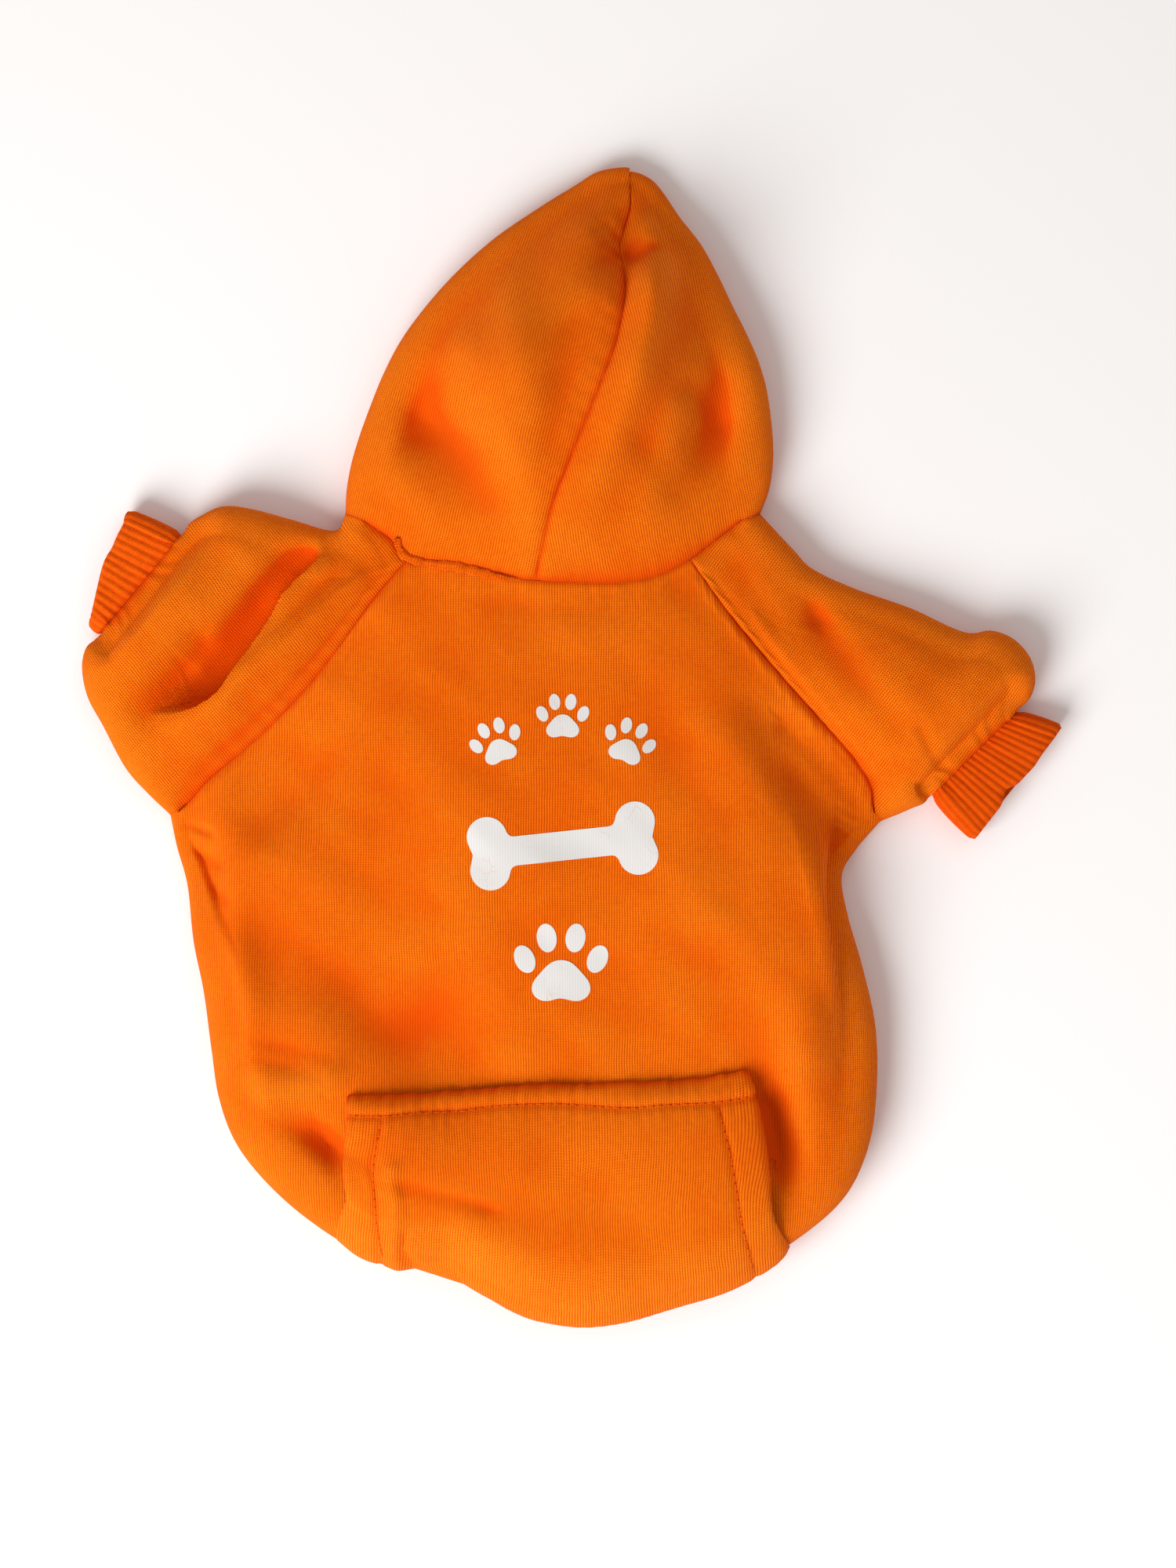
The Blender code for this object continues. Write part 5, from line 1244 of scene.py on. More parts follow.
sleeveSizes = {
    "reach": 100 * mm,
    "fold": 8 * mm,
    "rise": 4 * mm,
    "perSection": 14,
    "ease": 240,
    "easeColumns": 6,
    "fineSteps": 2000,
    "riseShape": 1.1,
    "uneven": 0.4 * mm,
    "chance": {"left": 31, "right": 32},
    "lowest": 2.6,
    "grain": {"left": 38, "right": -36},
    "upper": {
        "left": [
            (-0.035, 0.052), (-0.170, 0.018), (-0.302, -0.017), (-0.390, -0.025), (-0.463, 0.005),
            (-0.500, 0.030), (-0.517, 0.062),
        ],
        "right": [
            (0.105, 0.112), (0.168, 0.175), (0.302, 0.237), (0.480, 0.300), (0.612, 0.362),
            (0.675, 0.380), (0.740, 0.372), (0.810, 0.400), (0.862, 0.460), (0.878, 0.530),
            (0.862, 0.588), (0.825, 0.625),
        ],
    },
    "lower": {
        "left": [
            (-0.070, -0.068), (-0.140, -0.150), (-0.212, -0.285), (-0.260, -0.375),
            (-0.278, -0.465), (-0.268, -0.530), (-0.240, -0.560), (-0.222, -0.574),
        ],
        "right": [(0.055, -0.022), (0.100, -0.042), (0.137, -0.057), (0.157, -0.080)],
    },
    # way, along the upper and lower outline, folds, rise
    "sections": {
        "left": [
            (0.00, 0.000, 0.00, 0.88, 0.45, 0.0), (0.11, 0.045, 0.15, 0.92, 0.75, 1.5),
            (0.21, 0.085, 0.29, 0.90, 1.00, 2.0), (0.26, 0.115, 0.35, 0.85, 1.05, 1.7),
            (0.31, 0.165, 0.40, 0.75, 1.05, 1.2), (0.42, 0.280, 0.52, 0.90, 1.05, 0.9),
            (0.60, 0.500, 0.68, 1.10, 1.10, 0.9), (0.77, 0.730, 0.81, 1.05, 1.15, 1.1),
            (0.92, 0.900, 0.93, 0.80, 1.00, 0.6), (1.00, 1.000, 1.00, 0.675, 0.675, 0.0),
        ],
        "right": [
            (0.00, 0.000, 0.00, 0.88, 0.45, 0.0), (0.14, 0.140, 0.14, 0.95, 0.60, 1.2),
            (0.26, 0.260, 0.28, 0.85, 0.74, 1.4), (0.44, 0.440, 0.44, 0.90, 0.86, 1.6),
            (0.62, 0.620, 0.60, 0.95, 0.94, 1.7), (0.75, 0.750, 0.74, 1.10, 0.90, 1.5),
            (0.87, 0.870, 0.86, 1.15, 0.80, 1.0), (0.96, 0.960, 0.95, 0.90, 0.70, 0.3),
            (1.00, 1.000, 1.00, 0.675, 0.675, 0.0),
        ],
    },
    # the left sleeve's cloth lies folded over itself along this edge: a lip, then a valley beyond it
    "foldEdge": {
        "line": [
            (416, 702), (395, 724), (364, 755), (344, 790), (321, 825),
            (297, 857), (282, 880), (262, 896), (239, 906), (184, 919),
        ],
        "depth": 10.5 * mm,
        "valleyAway": 3.4 * mm,
        "drop": 1.5 * mm,
        "spread": 8.5 * mm,
        "spreadEnds": (0.55, 0.9),
        "lip": 1.8 * mm,
        "lipAway": 3.2 * mm,
        "lipReach": 4.0 * mm,
        "tuck": 3.0 * mm,
        "tuckAway": 2.4 * mm,
        "tuckReach": 1.5 * mm,
    },
    "folds": {
        "left": [
            ([(182, 912), (222, 868), (256, 822)], 6.0 * mm, 4.0 * mm, -2.8 * mm),
            ([(140, 880), (190, 820), (240, 770)], 6.0 * mm, 6.0 * mm, 1.2 * mm),
            ([(300, 690), (330, 720), (350, 760)], 5.0 * mm, 5.0 * mm, 1.2 * mm),
            ([(215, 730), (235, 700), (262, 672)], 2.2 * mm, 3.0 * mm, -1.0 * mm),
            ([(170, 800), (190, 775), (208, 745)], 2.0 * mm, 2.5 * mm, -0.7 * mm),
            ([(300, 915), (250, 950), (205, 985)], 5.0 * mm, 5.0 * mm, 1.0 * mm),
            ([(432, 700), (452, 712), (474, 735)], 3.5 * mm, 3.5 * mm, -0.9 * mm),
        ],
        "right": [
            ([(1019, 722), (1034, 755), (1046, 790)], 2.4 * mm, 3.2 * mm, -1.8 * mm),
            ([(1042, 790), (1088, 860), (1142, 922)], 5.0 * mm, 6.0 * mm, -1.6 * mm),
            ([(1290, 905), (1245, 948), (1190, 990)], 4.5 * mm, 4.5 * mm, 1.2 * mm),
            ([(1100, 790), (1170, 830), (1240, 850)], 8.0 * mm, 8.0 * mm, 1.2 * mm),
            ([(1292, 862), (1304, 880), (1310, 900)], 2.0 * mm, 2.0 * mm, -0.8 * mm),
            ([(1215, 990), (1190, 965), (1172, 930)], 2.0 * mm, 2.4 * mm, -0.8 * mm),
            ([(925, 700), (952, 742), (985, 790)], 4.0 * mm, 5.0 * mm, -0.9 * mm),
        ],
    },
}


def makeSleeve(side, sizes):
    outside = -1.0 if side == "left" else 1.0
    raglan = raglans[side]
    shoulder = neck.back[side][neck.split[side] :][::-1]
    firstTop = np.concatenate([shoulder, raglan.back[1:]])
    front = neck.front[side][: neckSizes["frontSteps"] + 1][::-1]
    firstBottom = np.concatenate([raglan.front, front[1:]])
    table = np.array(sizes["sections"][side])
    knots = np.arange(len(table))
    q = np.linspace(0.0, knots[-1], knots[-1] * sizes["perSection"] + 1)
    way, upperWay, lowerWay, high, low, rise = (smoothTable(knots, table[:, k], q) for k in range(6))
    high, low = high * sizes["fold"], low * sizes["fold"]
    rails = {}
    begin = (np.clip(1 - q, 0, 1) ** 1.5)[:, None]
    for name, start, share, forced, sense in (
        ("upper", neck.corner[side], upperWay, neck.outward[side], -outside),
        ("lower", raglan.fold, lowerWay, raglan.outward, outside),
    ):
        outline = placedLine(sizes[name][side], sizes["reach"], sizes["reach"], start)
        fine = smoothLine([start, *outline], sizes["fineSteps"])
        steps, at = np.arange(len(fine)), np.clip(share, 0, 1) * sizes["fineSteps"]
        rails[name] = readLine(fine, steps, at)
        out = readLine(easedNormals(fine, sense, sizes["ease"]), steps, at)
        rails[name + "Out"] = unit(out * (1 - begin) + forced * begin)
    end = unit(rails["upper"][-1] - rails["lower"][-1])
    close = (np.clip(q - knots[-1] + 1, 0, 1) ** 1.5)[:, None]
    rails["upperOut"] = unit(rails["upperOut"] * (1 - close) + end * close)
    rails["lowerOut"] = unit(rails["lowerOut"] * (1 - close) - end * close)
    upper = rails["upper"] - rails["upperOut"] * high[:, None]
    lower = rails["lower"] - rails["lowerOut"] * low[:, None]
    follow = (1 - way[:, None, None]) ** 2
    s = np.linspace(0.0, 1.0, len(firstTop))
    chord = between(firstTop[0, :2], firstTop[-1, :2], s)
    flat = between(upper[:, None], lower[:, None], s[None]) + (firstTop[:, :2] - chord)[None] * follow
    level = 2 * ((1 - s)[None] * high[:, None] + s[None] * low[:, None])
    level += sizes["rise"] * rise[:, None] * (np.sin(math.pi * s) ** sizes["riseShape"])[None]
    level += np.maximum(0.0, firstTop[None, :, 2] - level) * np.clip(1 - 2 * way, 0, 1)[:, None]
    begin = smoothStep(way / 0.08)[:, None]
    level = firstTop[None, :, 2] * (1 - begin) + level * begin
    fromStart = walked(np.concatenate([flat, level[..., None]], axis=2), 0)
    fromEnd = fromStart[-1:] - fromStart
    weight = (1 - (2 * s - 1) ** 8)[None] * smoothStep(fromStart / (6 * mm)) * smoothStep(fromEnd / (6 * mm))
    x, y = flat[..., 0], flat[..., 1]
    uneven = unevenness(x, y, sizes["chance"][side], sizes["uneven"])
    level += weight * (foldHeights(sizes["folds"][side], x, y) + uneven)
    if side == "left":
        fold = sizes["foldEdge"]
        distance, share = lineDistance(x, y, fromPhoto(*fold["line"]))
        distance = -distance  # above zero beyond the edge, towards the cuff
        strength = smoothStep(share * 6 + 0.6) * smoothStep((1 - share) * 3.4)
        soft = fold["spread"] * (fold["spreadEnds"][0] + fold["spreadEnds"][1] * share)
        spread = np.where(distance < fold["valleyAway"], fold["drop"], soft)
        valley = bell(distance - fold["valleyAway"], spread)
        lip = bell(distance + fold["lipAway"], fold["lipReach"])
        level += weight * strength * (fold["lip"] * lip - fold["depth"] * valley)
        tuck = fold["tuck"] * weight * strength * bell(distance - fold["tuckAway"], fold["tuckReach"])
        flat = flat + leftOf(fromPhoto(*fold["line"]), share) * tuck[..., None]
    along = walked(flat, 1)
    level += seamDip(fromStart) + puckers(fromStart, along[:1], 12, 0.16 * mm)
    level += 0.8 * seamDip(fromEnd) + puckers(fromEnd, along[-1:], 14, 0.22 * mm, 6 * mm)
    level = np.maximum(level, sizes["lowest"] * cloth["fleece"])
    top = np.concatenate([flat, level[..., None]], axis=2)
    t = np.linspace(0.0, 1.0, len(firstBottom))
    chord = between(firstBottom[0, :2], firstBottom[-1, :2], t)
    bottom = between(lower[:, None], upper[:, None], t[None]) + (firstBottom[:, :2] - chord)[None] * follow
    bottom = np.concatenate([bottom, np.zeros(bottom.shape[:2] + (1,))], axis=2)
    upperArcs = [foldArc(upper[i], rails["upperOut"][i], high[i], arcSteps) for i in range(len(q))]
    lowerArcs = [foldArc(lower[i], rails["lowerOut"][i], low[i], arcSteps) for i in range(len(q))]
    upperArcs[0], lowerArcs[0] = neck.arc[side], raglan.arc

    def roundTube(over, under, part):
        # over the top, down the lower arc, under, and up the upper arc
        down = np.array([arc[part] for arc in lowerArcs])[:, 1:-1]
        up = np.array([arc[part][::-1] for arc in upperArcs])[:, 1:-1]
        ring = np.concatenate([over, down, under, up], axis=1)
        return easedJoints(ring, [0, len(s) - 1], sizes["easeColumns"], 1, wrap=True)

    outer, weave = roundTube(top, bottom, 0), roundTube(flat, bottom[..., :2], 2)
    inner = outer - cloth["fleece"] * gridNormals(outer, wrap=True)
    for i in (0, -1):
        inner[i] = np.concatenate(
            [onTop(top[i]), lowerArcs[i][1][1:-1], below(bottom[i]), upperArcs[i][1][::-1][1:-1]]
        )
    for grid in (outer, inner):
        grid[0, :, 0] += outside * cloth["gap"] * 1.4
        grid[0, :, 1] -= cloth["gap"] * 0.4
    walk = walked(outer, 0)
    # painted shade along the raglan seam and at the cuff
    paintedShade = 0.6 * np.maximum(bell(walk, 0.8 * mm), bell(walk[-1:] - walk, 1.1 * mm))
    made = addSheet("sleeve" + side.title(), outer, inner, weave, paintedShade, sizes["grain"][side], wrap=True)
    return made, {"outer": outer[-1].copy(), "top": top[-1]}


sleeves, sleeveEnds = {}, {}
for side in ("left", "right"):
    sleeves[side], sleeveEnds[side] = makeSleeve(side, sleeveSizes)
print("sleeves made")

# ---- ribbed cuffs

cuffSizes = {
    "fold": 5.4 * mm,
    "rib": 2.5 * mm,
    "depth": 0.36 * mm,
    "perRib": 10,
    "rows": 26,
    "mouth": {"left": ((-0.685, -0.015), (-0.258, -0.608)), "right": ((0.970, 0.675), (0.292, 0.065))},
    # a painted shadow darkens the right cuff, which the sleeve's roll shades
    "shade": {"left": 0.0, "right": 0.55},
    # how the mouth's edge waves: middle and spread across the cuff, and how far it stands out
    "wave": {
        "left": [(0.5, 0.42, 2.2 * mm), (0.30, 0.10, -0.4 * mm)],
        "right": [(0.62, 0.08, -1.8 * mm), (0.30, 0.10, 0.5 * mm)],
    },
    # size and reach, as shares of the depth, of the pinch at the sleeve's seam and at the mouth
    "pinch": ((0.9 * mm, 0.1), (1.0 * mm, 1.3 / 22)),
    "swell": 0.5 * mm,
    "ripple": 0.25 * mm,
    "ripples": 9,
    "mouthSteps": 60,
}


def makeCuff(side, sizes):
    ring = sleeveEnds[side]
    reach = sleeveSizes["reach"]
    upperMouth = placed(sizes["mouth"][side][0], reach, reach, neck.corner[side])
    lowerMouth = placed(sizes["mouth"][side][1], reach, reach, raglans[side].fold)
    out = unit(upperMouth - lowerMouth)
    upper, lower = upperMouth - out * sizes["fold"], lowerMouth + out * sizes["fold"]
    steps = sizes["mouthSteps"]
    ways = np.linspace(0.0, 1.0, steps)
    mouth = np.concatenate(
        [
            raised(between(upper, lower, ways), 2 * sizes["fold"]),
            foldArc(lower, -out, sizes["fold"], arcSteps)[0][1:-1],
            raised(between(lower, upper, ways), 0.0),
            foldArc(upper, out, sizes["fold"], arcSteps)[0][::-1][1:-1],
        ]
    )
    start = ring["outer"]
    length = np.linalg.norm(np.diff(np.vstack([mouth, mouth[:1]]), axis=0), axis=1).sum()
    count = int(round(length / sizes["rib"])) * sizes["perRib"]
    # both loops are spaced by the same corners, so that ribs run straight from seam to mouth
    even = np.linspace(0.0, 1.0, count, endpoint=False)

    def spaced(loop, cornerIndexes):
        closed = np.vstack([loop, loop[:1]])
        walk = reachedAlong(closed)
        marks = np.concatenate([[0.0], mouthShares, [1.0]])
        lengths = np.concatenate([[0.0], walk[cornerIndexes], [walk[-1]]])
        return readLine(closed, walk, np.interp(even, marks, lengths))

    walk = reachedAlong(np.vstack([mouth, mouth[:1]]))
    corners = [steps - 1, steps - 1 + arcSteps, 2 * (steps - 1) + arcSteps]
    mouthShares = walk[corners] / walk[-1]
    topCount = len(ring["top"])
    bottomCount = len(start) - topCount - 2 * (arcSteps - 1)
    startCorners = [topCount - 1, topCount - 1 + arcSteps, topCount - 2 + arcSteps + bottomCount]
    first, last = spaced(start, startCorners), spaced(mouth, corners)
    depth = float(np.linalg.norm(first - last, axis=1).mean())
    along = start[0, :2] - start[topCount - 1, :2]
    forward = unit(np.array([-along[1], along[0]]))
    forward *= np.sign(forward @ (upperMouth - start[0, :2]))
    outer, inner, weave, paintedShade = [], [], [], []
    rib = 0.5 - 0.5 * np.cos(2 * math.pi * np.arange(count) / sizes["perRib"])
    share = np.clip(even / mouthShares[0], 0, 1)
    (seamPinch, seamReach), (mouthPinch, mouthReach) = sizes["pinch"]
    for i in range(sizes["rows"] + 1):
        way = i / sizes["rows"]
        loop = (1 - way) * first + way * last
        loop[:, :2] += forward * cloth["gap"] * 1.5 * (1 - way)
        for middle, spread, size in sizes["wave"][side]:
            loop[:, :2] += forward * (size * way**2 * bell(share - middle, spread))[:, None]
        slope = np.roll(loop, -1, axis=0) - np.roll(loop, 1, axis=0)
        normal = unit(np.cross(slope, np.array([*forward, 0.0])))
        normal *= np.sign(np.sum(normal[:, 2] * (loop[:, 2] - sizes["fold"])))
        pinch = seamPinch * bell(way, seamReach) + mouthPinch * bell(1 - way, mouthReach)
        swell = sizes["swell"] * math.sin(math.pi * way)
        ripple = sizes["ripple"] * np.sin(even * 2 * math.pi * sizes["ripples"] + way * 2.0) * way
        outer.append(loop - normal * (sizes["depth"] * (1 - rib**0.8) + pinch - swell + ripple)[:, None])
        inner.append(loop - normal * (cloth["rib"] - 0.15 * mm * rib + 0.2 * pinch - swell + ripple)[:, None])
        weave.append(np.stack([even * length, np.full(count, way * depth)], axis=1))
        # painted shade in the furrows between the ribs, and a painted shadow over the whole right cuff
        paintedShade.append((1 - rib) ** 2 * 0.8 + sizes["shade"][side])
    return addSheet("cuff" + side.title(), *(np.array(a) for a in (outer, inner, weave, paintedShade)), wrap=True)


cuffs = {side: makeCuff(side, cuffSizes) for side in ("left", "right")}
print("cuffs made")

# ---- patch pocket over the tail


def makePocket(sizes):
    flatRows, tailRows, half = sizes["flatRows"], sizes["tailRows"], body.rows // 2
    total, count = flatRows + arcSteps + tailRows, sizes["columns"]
    share = np.linspace(0.0, 1.0, count + 1)[None]
    i = np.arange(total + 1)
    flatWay = np.clip(i / flatRows, 0, 1)[:, None]
    turned = np.clip(i - flatRows, 0, arcSteps)[:, None]
    tailWay = np.clip(i - flatRows - arcSteps, 0, tailRows)[:, None] / tailRows
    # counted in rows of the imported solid: six flat ones, five round the arc and one behind
    cadRow = 6.0 * flatWay + 5.0 * turned / arcSteps + tailWay
    swell = np.sin(math.pi * np.clip(cadRow / 7.0, 0, 1)) ** 0.9
    low = sizes["seat"] + cloth["fleece"]
    sideways = 1 - sizes["flatter"] * (bell(share, sizes["flatReach"]) + bell(1 - share, sizes["flatReach"]))
    lift = low + sizes["depth"] * swell * sideways
    # where each column of the back passes under the pocket's top edge, and each row under its sides
    flatBody = body.plain[: body.rows + 1] + body.normals[: body.rows + 1] * low
    above, _ = lineDistance(flatBody[..., 0], flatBody[..., 1], lengthened(fromPhoto(*sizes["topEdge"])))
    spots = np.arange(half, body.rows + 1)
    topRow = np.array([np.interp(0.0, -above[half:, c], spots) for c in range(body.columns)])
    edges = []
    for name, guess, column in (("leftEdge", sizes["guess"][0], 0), ("rightEdge", sizes["guess"][1], -1)):
        middle, edge = int(guess * fineness), []
        near = np.arange(middle - sizes["search"], middle + sizes["search"] + 1)
        line = lengthened(fromPhoto(*sizes[name]))
        for k in range(flatRows + 1):
            rows = topRow[near] + (body.rows - topRow[near]) * k / flatRows
            normal = unit(readGrid(body.normals, rows, near))
            spot = readGrid(body.plain, rows, near) + normal * lift[k, column]
            past, _ = lineDistance(spot[:, 0], spot[:, 1], line)
            edge.append(np.interp(0.0, -past if past[0] > past[-1] else past, near))
        edge = runningMean(np.array(edge), 6)
        edges.append(np.concatenate([edge, np.full(total - flatRows, edge[-1])])[:, None])
    columns = edges[0] + (edges[1] - edges[0]) * share
    startRow = np.interp(columns, np.arange(body.columns), topRow)
    rows = startRow + (body.rows - startRow) * flatWay + turned
    base, normal = readGrid(body.plain, rows, columns), unit(readGrid(body.normals, rows, columns))
    # the lower edge is moved to the outline that it has in the photograph
    out = readLine(body.outward, np.arange(body.columns), columns[flatRows])
    equator = flatRows + arcSteps // 2
    reach = base[equator, :, :2] + normal[equator, :, :2] * lift[equator][:, None]
    beyond, _ = lineDistance(reach[:, 0], reach[:, 1], fromPhoto(*sizes["lowerEdge"]))
    beyond = runningMean(beyond, 2)
    carried = np.clip((i - 0.45 * flatRows) / (0.55 * flatRows), 0, 1)[:, None] ** 1.5
    moved = np.clip(beyond, -sizes["mostMoved"], sizes["mostMoved"])[None] * carried
    base[..., :2] += out[None] * moved[..., None]
    x, y = base[..., 0], base[..., 1]
    fromTop, across = walked(base, 0), walked(base, 1)
    fromSide = np.minimum(across, across[:, -1:] - across)
    bent = smoothStep((i - flatRows)[:, None] / arcSteps)
    ease = smoothStep(fromTop / (5 * mm)) * (1 - bent)
    fine = foldHeights(sizes["folds"], x, y) + unevenness(x, y, 41, 0.35 * mm)
    hemLine, stripLeft, stripRight = (
        lineDistance(x, y, fromPhoto(*sizes[name]))[0] for name in ("hem", "leftStrip", "rightStrip")
    )
    stitched = bell(hemLine, 1.1 * mm) + bell(stripLeft, 1.0 * mm) + bell(stripRight, 1.0 * mm)
    stitched = np.clip(stitched, 0, 1)
    band = sizes["band"] * bell(hemLine - 3.5 * mm, 2.2 * mm)
    lift = lift + ease * fine - sizes["stitchDip"] * stitched * (1 - 0.7 * bent) + band
    edgeRoll = 0.9 * mm * bell(fromSide, 1.2 * mm) + 0.8 * mm * bell(fromTop, 1.0 * mm)
    lift = lift - edgeRoll + puckers(np.abs(hemLine), across, 15, 0.14 * mm, 5 * mm, 3 * mm)
    outer = base + normal * lift[..., None]
    outer[..., :2] -= out[None] * sizes["turn"] * tailWay[..., None]
    outer[..., 2] = np.maximum(outer[..., 2], 0.0)
    inner = outer - normal * (cloth["fleece"] - 0.5 * edgeRoll)[..., None]
    weave = np.stack([base[..., 0], -fromTop - sizes["weaveStart"]], axis=-1)
    # painted shade along the stitched lines, the pocket's sides and its top edge
    paintedShade = 0.25 * stitched + 0.25 * bell(fromSide, 0.8 * mm) + 0.25 * bell(fromTop, 0.8 * mm)
    return addSheet("patchPocket", outer, inner, weave, paintedShade)


pocket = makePocket(pocketSizes)
print("pocket made")

# ---- small pieces laid on the cloth: prints, seam edge, threads

skins = {}
for piece in (backPanel, pocket, hoods["left"], sleeves["left"]):
    shape = bmesh.new()
    shape.from_mesh(piece.data)
    skins[piece.name] = BVHTree.FromBMesh(shape)
    shape.free()


def photoLine(*pixels):
    return np.array(fromPhoto(*pixels)) + frameShift[:2]


def laidOn(names, points, above):
    # flat points dropped from above on the cloths that are named
    laid = []
    for x, y in points:
        place, facing = Vector((x, y, 0.0)), Vector((0.0, 0.0, 1.0))
        for name in names:
            hit, turn, _, _ = skins[name].ray_cast(Vector((x, y, 0.2)), Vector((0.0, 0.0, -1.0)))
            if hit and hit.z > place.z:
                place, facing = hit, turn if turn.z > 0 else -turn
        laid.append(place + facing * above)
    return np.array(laid)


printSizes = {
    "cell": 0.5 * mm,
    "nudge": 0.02 * mm,
    "above": 0.17 * mm,
    "below": 0.2 * mm,
    "reach": {"bone": 31 * mm, "paw": 13 * mm},
    # motif, middle in photo pixels, turn, size against its drawing
    "motifs": [
        ("paw", (634, 946), 20, 0.80),
        ("paw", (718, 914), 0, 0.80),
        ("paw", (802, 946), -20, 0.80),
        ("bone", (718, 1078), 6, 1.0),
        ("paw", (716, 1226), 0, 1.42),
    ],
    "bone": {"half": 23.5 * mm, "shaft": 4.6 * mm, "knob": 6.3 * mm, "apart": 5.3 * mm},
    "paw": {
        "pads": [
            (0.0, -3.2 * mm, 4.2 * mm), (-3.5 * mm, -5.6 * mm, 3.0 * mm),
            (3.5 * mm, -5.6 * mm, 3.0 * mm),
        ],
        "toes": [
            (-8.1 * mm, 0.9 * mm, 24), (-3.2 * mm, 5.6 * mm, 8), (3.2 * mm, 5.6 * mm, -8),
            (8.1 * mm, 0.9 * mm, -24),
        ],
        "toe": (2.2 * mm, 3.2 * mm),
    },
}


def blended(first, second, soft):
    # the nearer of two shapes, with the corner between them filled
    h = np.clip(0.5 + 0.5 * (second - first) / soft, 0, 1)
    return second * (1 - h) + first * h - soft * h * (1 - h)


def motifDistance(kind, x, y, sizes):
    # distance to the motif's outline, below zero inside
    if kind == "bone":
        bone = sizes["bone"]
        shape = np.hypot(np.maximum(np.abs(x) - bone["half"], 0), y) - bone["shaft"]
        knobs = np.hypot(np.abs(x) - bone["half"], np.abs(y) - bone["apart"]) - bone["knob"]
        return blended(shape, knobs, 2.5 * mm)
    shape = None
    for px, py, radius in sizes["paw"]["pads"]:
        pad = np.hypot(x - px, (y - py) * 1.08) - radius
        shape = pad if shape is None else blended(shape, pad, 2.8 * mm)
    across, along = sizes["paw"]["toe"]
    for px, py, turn in sizes["paw"]["toes"]:
        u, v = onTurnedAxes(x - px, y - py, turn)
        shape = np.minimum(shape, (np.hypot(u / across, v / along) - 1) * across)
    return shape


def makePrint(sizes):
    cell = sizes["cell"]
    points, faces, nudge = [], [], sizes["nudge"]
    for kind, middle, turn, size in sizes["motifs"]:

        def far(x, y):
            return motifDistance(kind, x / size, y / size, sizes) * size

        steps = int(sizes["reach"][kind] * size / cell)
        grid = np.arange(-steps, steps + 1) * cell
        x, y = np.meshgrid(grid, grid)
        for _ in range(3):  # the nodes next to the outline move onto it
            d = far(x, y)
            gx, gy = (far(x + nudge, y) - d) / nudge, (far(x, y + nudge) - d) / nudge
            near = (np.abs(d) < 0.62 * cell) / np.maximum(gx * gx + gy * gy, 0.2)
            x, y = x - d * gx * near, y - d * gy * near
        inside = far(x, y) < 0.08 * cell
        flat = photoLine(middle)[0] + np.stack(onTurnedAxes(x, y, -turn), axis=-1)
        index = np.full(x.shape, -1)
        index[inside] = np.arange(inside.sum()) + sum(len(p) for p in points)
        points.append(flat[inside])
        for i in range(x.shape[0] - 1):
            for j in range(x.shape[1] - 1):
                corners = [index[i, j], index[i, j + 1], index[i + 1, j + 1], index[i + 1, j]]
                kept = [int(k) for k in corners if k >= 0]
                if len(kept) >= 3:
                    faces.append(kept)
    flat = np.concatenate(points)
    upper, lower = laidOn(["backPanel"], flat, sizes["above"]), laidOn(["backPanel"], flat, -sizes["below"])
    count = len(flat)
    sides = dict.fromkeys((a, b) for face in faces for a, b in zip(face, face[1:] + face[:1]))
    walls = [(b, a, count + a, count + b) for a, b in sides if (b, a) not in sides]
    under = [tuple(count + k for k in reversed(face)) for face in faces]
    mesh = bpy.data.meshes.new("backPrint")
    mesh.from_pydata(np.concatenate([upper, lower]).tolist(), [], [tuple(f) for f in faces] + under + walls)
    mesh.shade_smooth()
    mesh.set_sharp_from_angle(angle=math.radians(50))
    return addObject("backPrint", mesh)


backPrint = makePrint(printSizes)
print("print laid on the back")


def addTube(name, line, halfWide, halfHigh, around, unevenBy, paintedShade):
    # a flattened tube along a line, closed at its ends
    chance = np.random.default_rng(len(line))
    slope = unit(np.gradient(line, axis=0))
    aside = unit(np.cross(slope, np.array([0.0, 0.0, 1.0])))
    up = unit(np.cross(aside, slope))
    turn = 2 * math.pi * np.arange(around) / around
    wide, high = halfWide[:, None, None], halfHigh[:, None, None]
    aside, up = aside[:, None], up[:, None]
    across, above = np.cos(turn)[None, :, None], np.sin(turn)[None, :, None]
    rings = line[:, None] + aside * across * wide + up * above * high
    upward, sideways = (chance.normal(size=rings.shape[:2])[..., None] for _ in range(2))
    rings += unevenBy * (up * upward + aside * sideways)
    count = len(line)
    faces = []
    for first in range(0, (count - 1) * around, around):
        for j in range(around):
            k = (j + 1) % around
            faces.append((first + j, first + k, first + around + k, first + around + j))
    faces += [tuple(range(around))[::-1], tuple((count - 1) * around + j for j in range(around))]
    mesh = bpy.data.meshes.new(name)
    mesh.from_pydata(rings.reshape(-1, 3).tolist(), [], faces)
    outwardFaces(mesh)
    along = np.repeat(reachedAlong(line), around)
    addWeave(mesh, np.stack([along, np.tile(turn * 0.8 * mm, count)], axis=1))
    # painted shade, as along the cloth's seams
    addPointValues(mesh, "paintedSeamShade", np.full(len(mesh.vertices), paintedShade))
    addPointValues(mesh, "paintedShadeAndHighlight", np.full(len(mesh.vertices), 0.5))
    mesh.shade_smooth()
    return addObject(name, mesh)


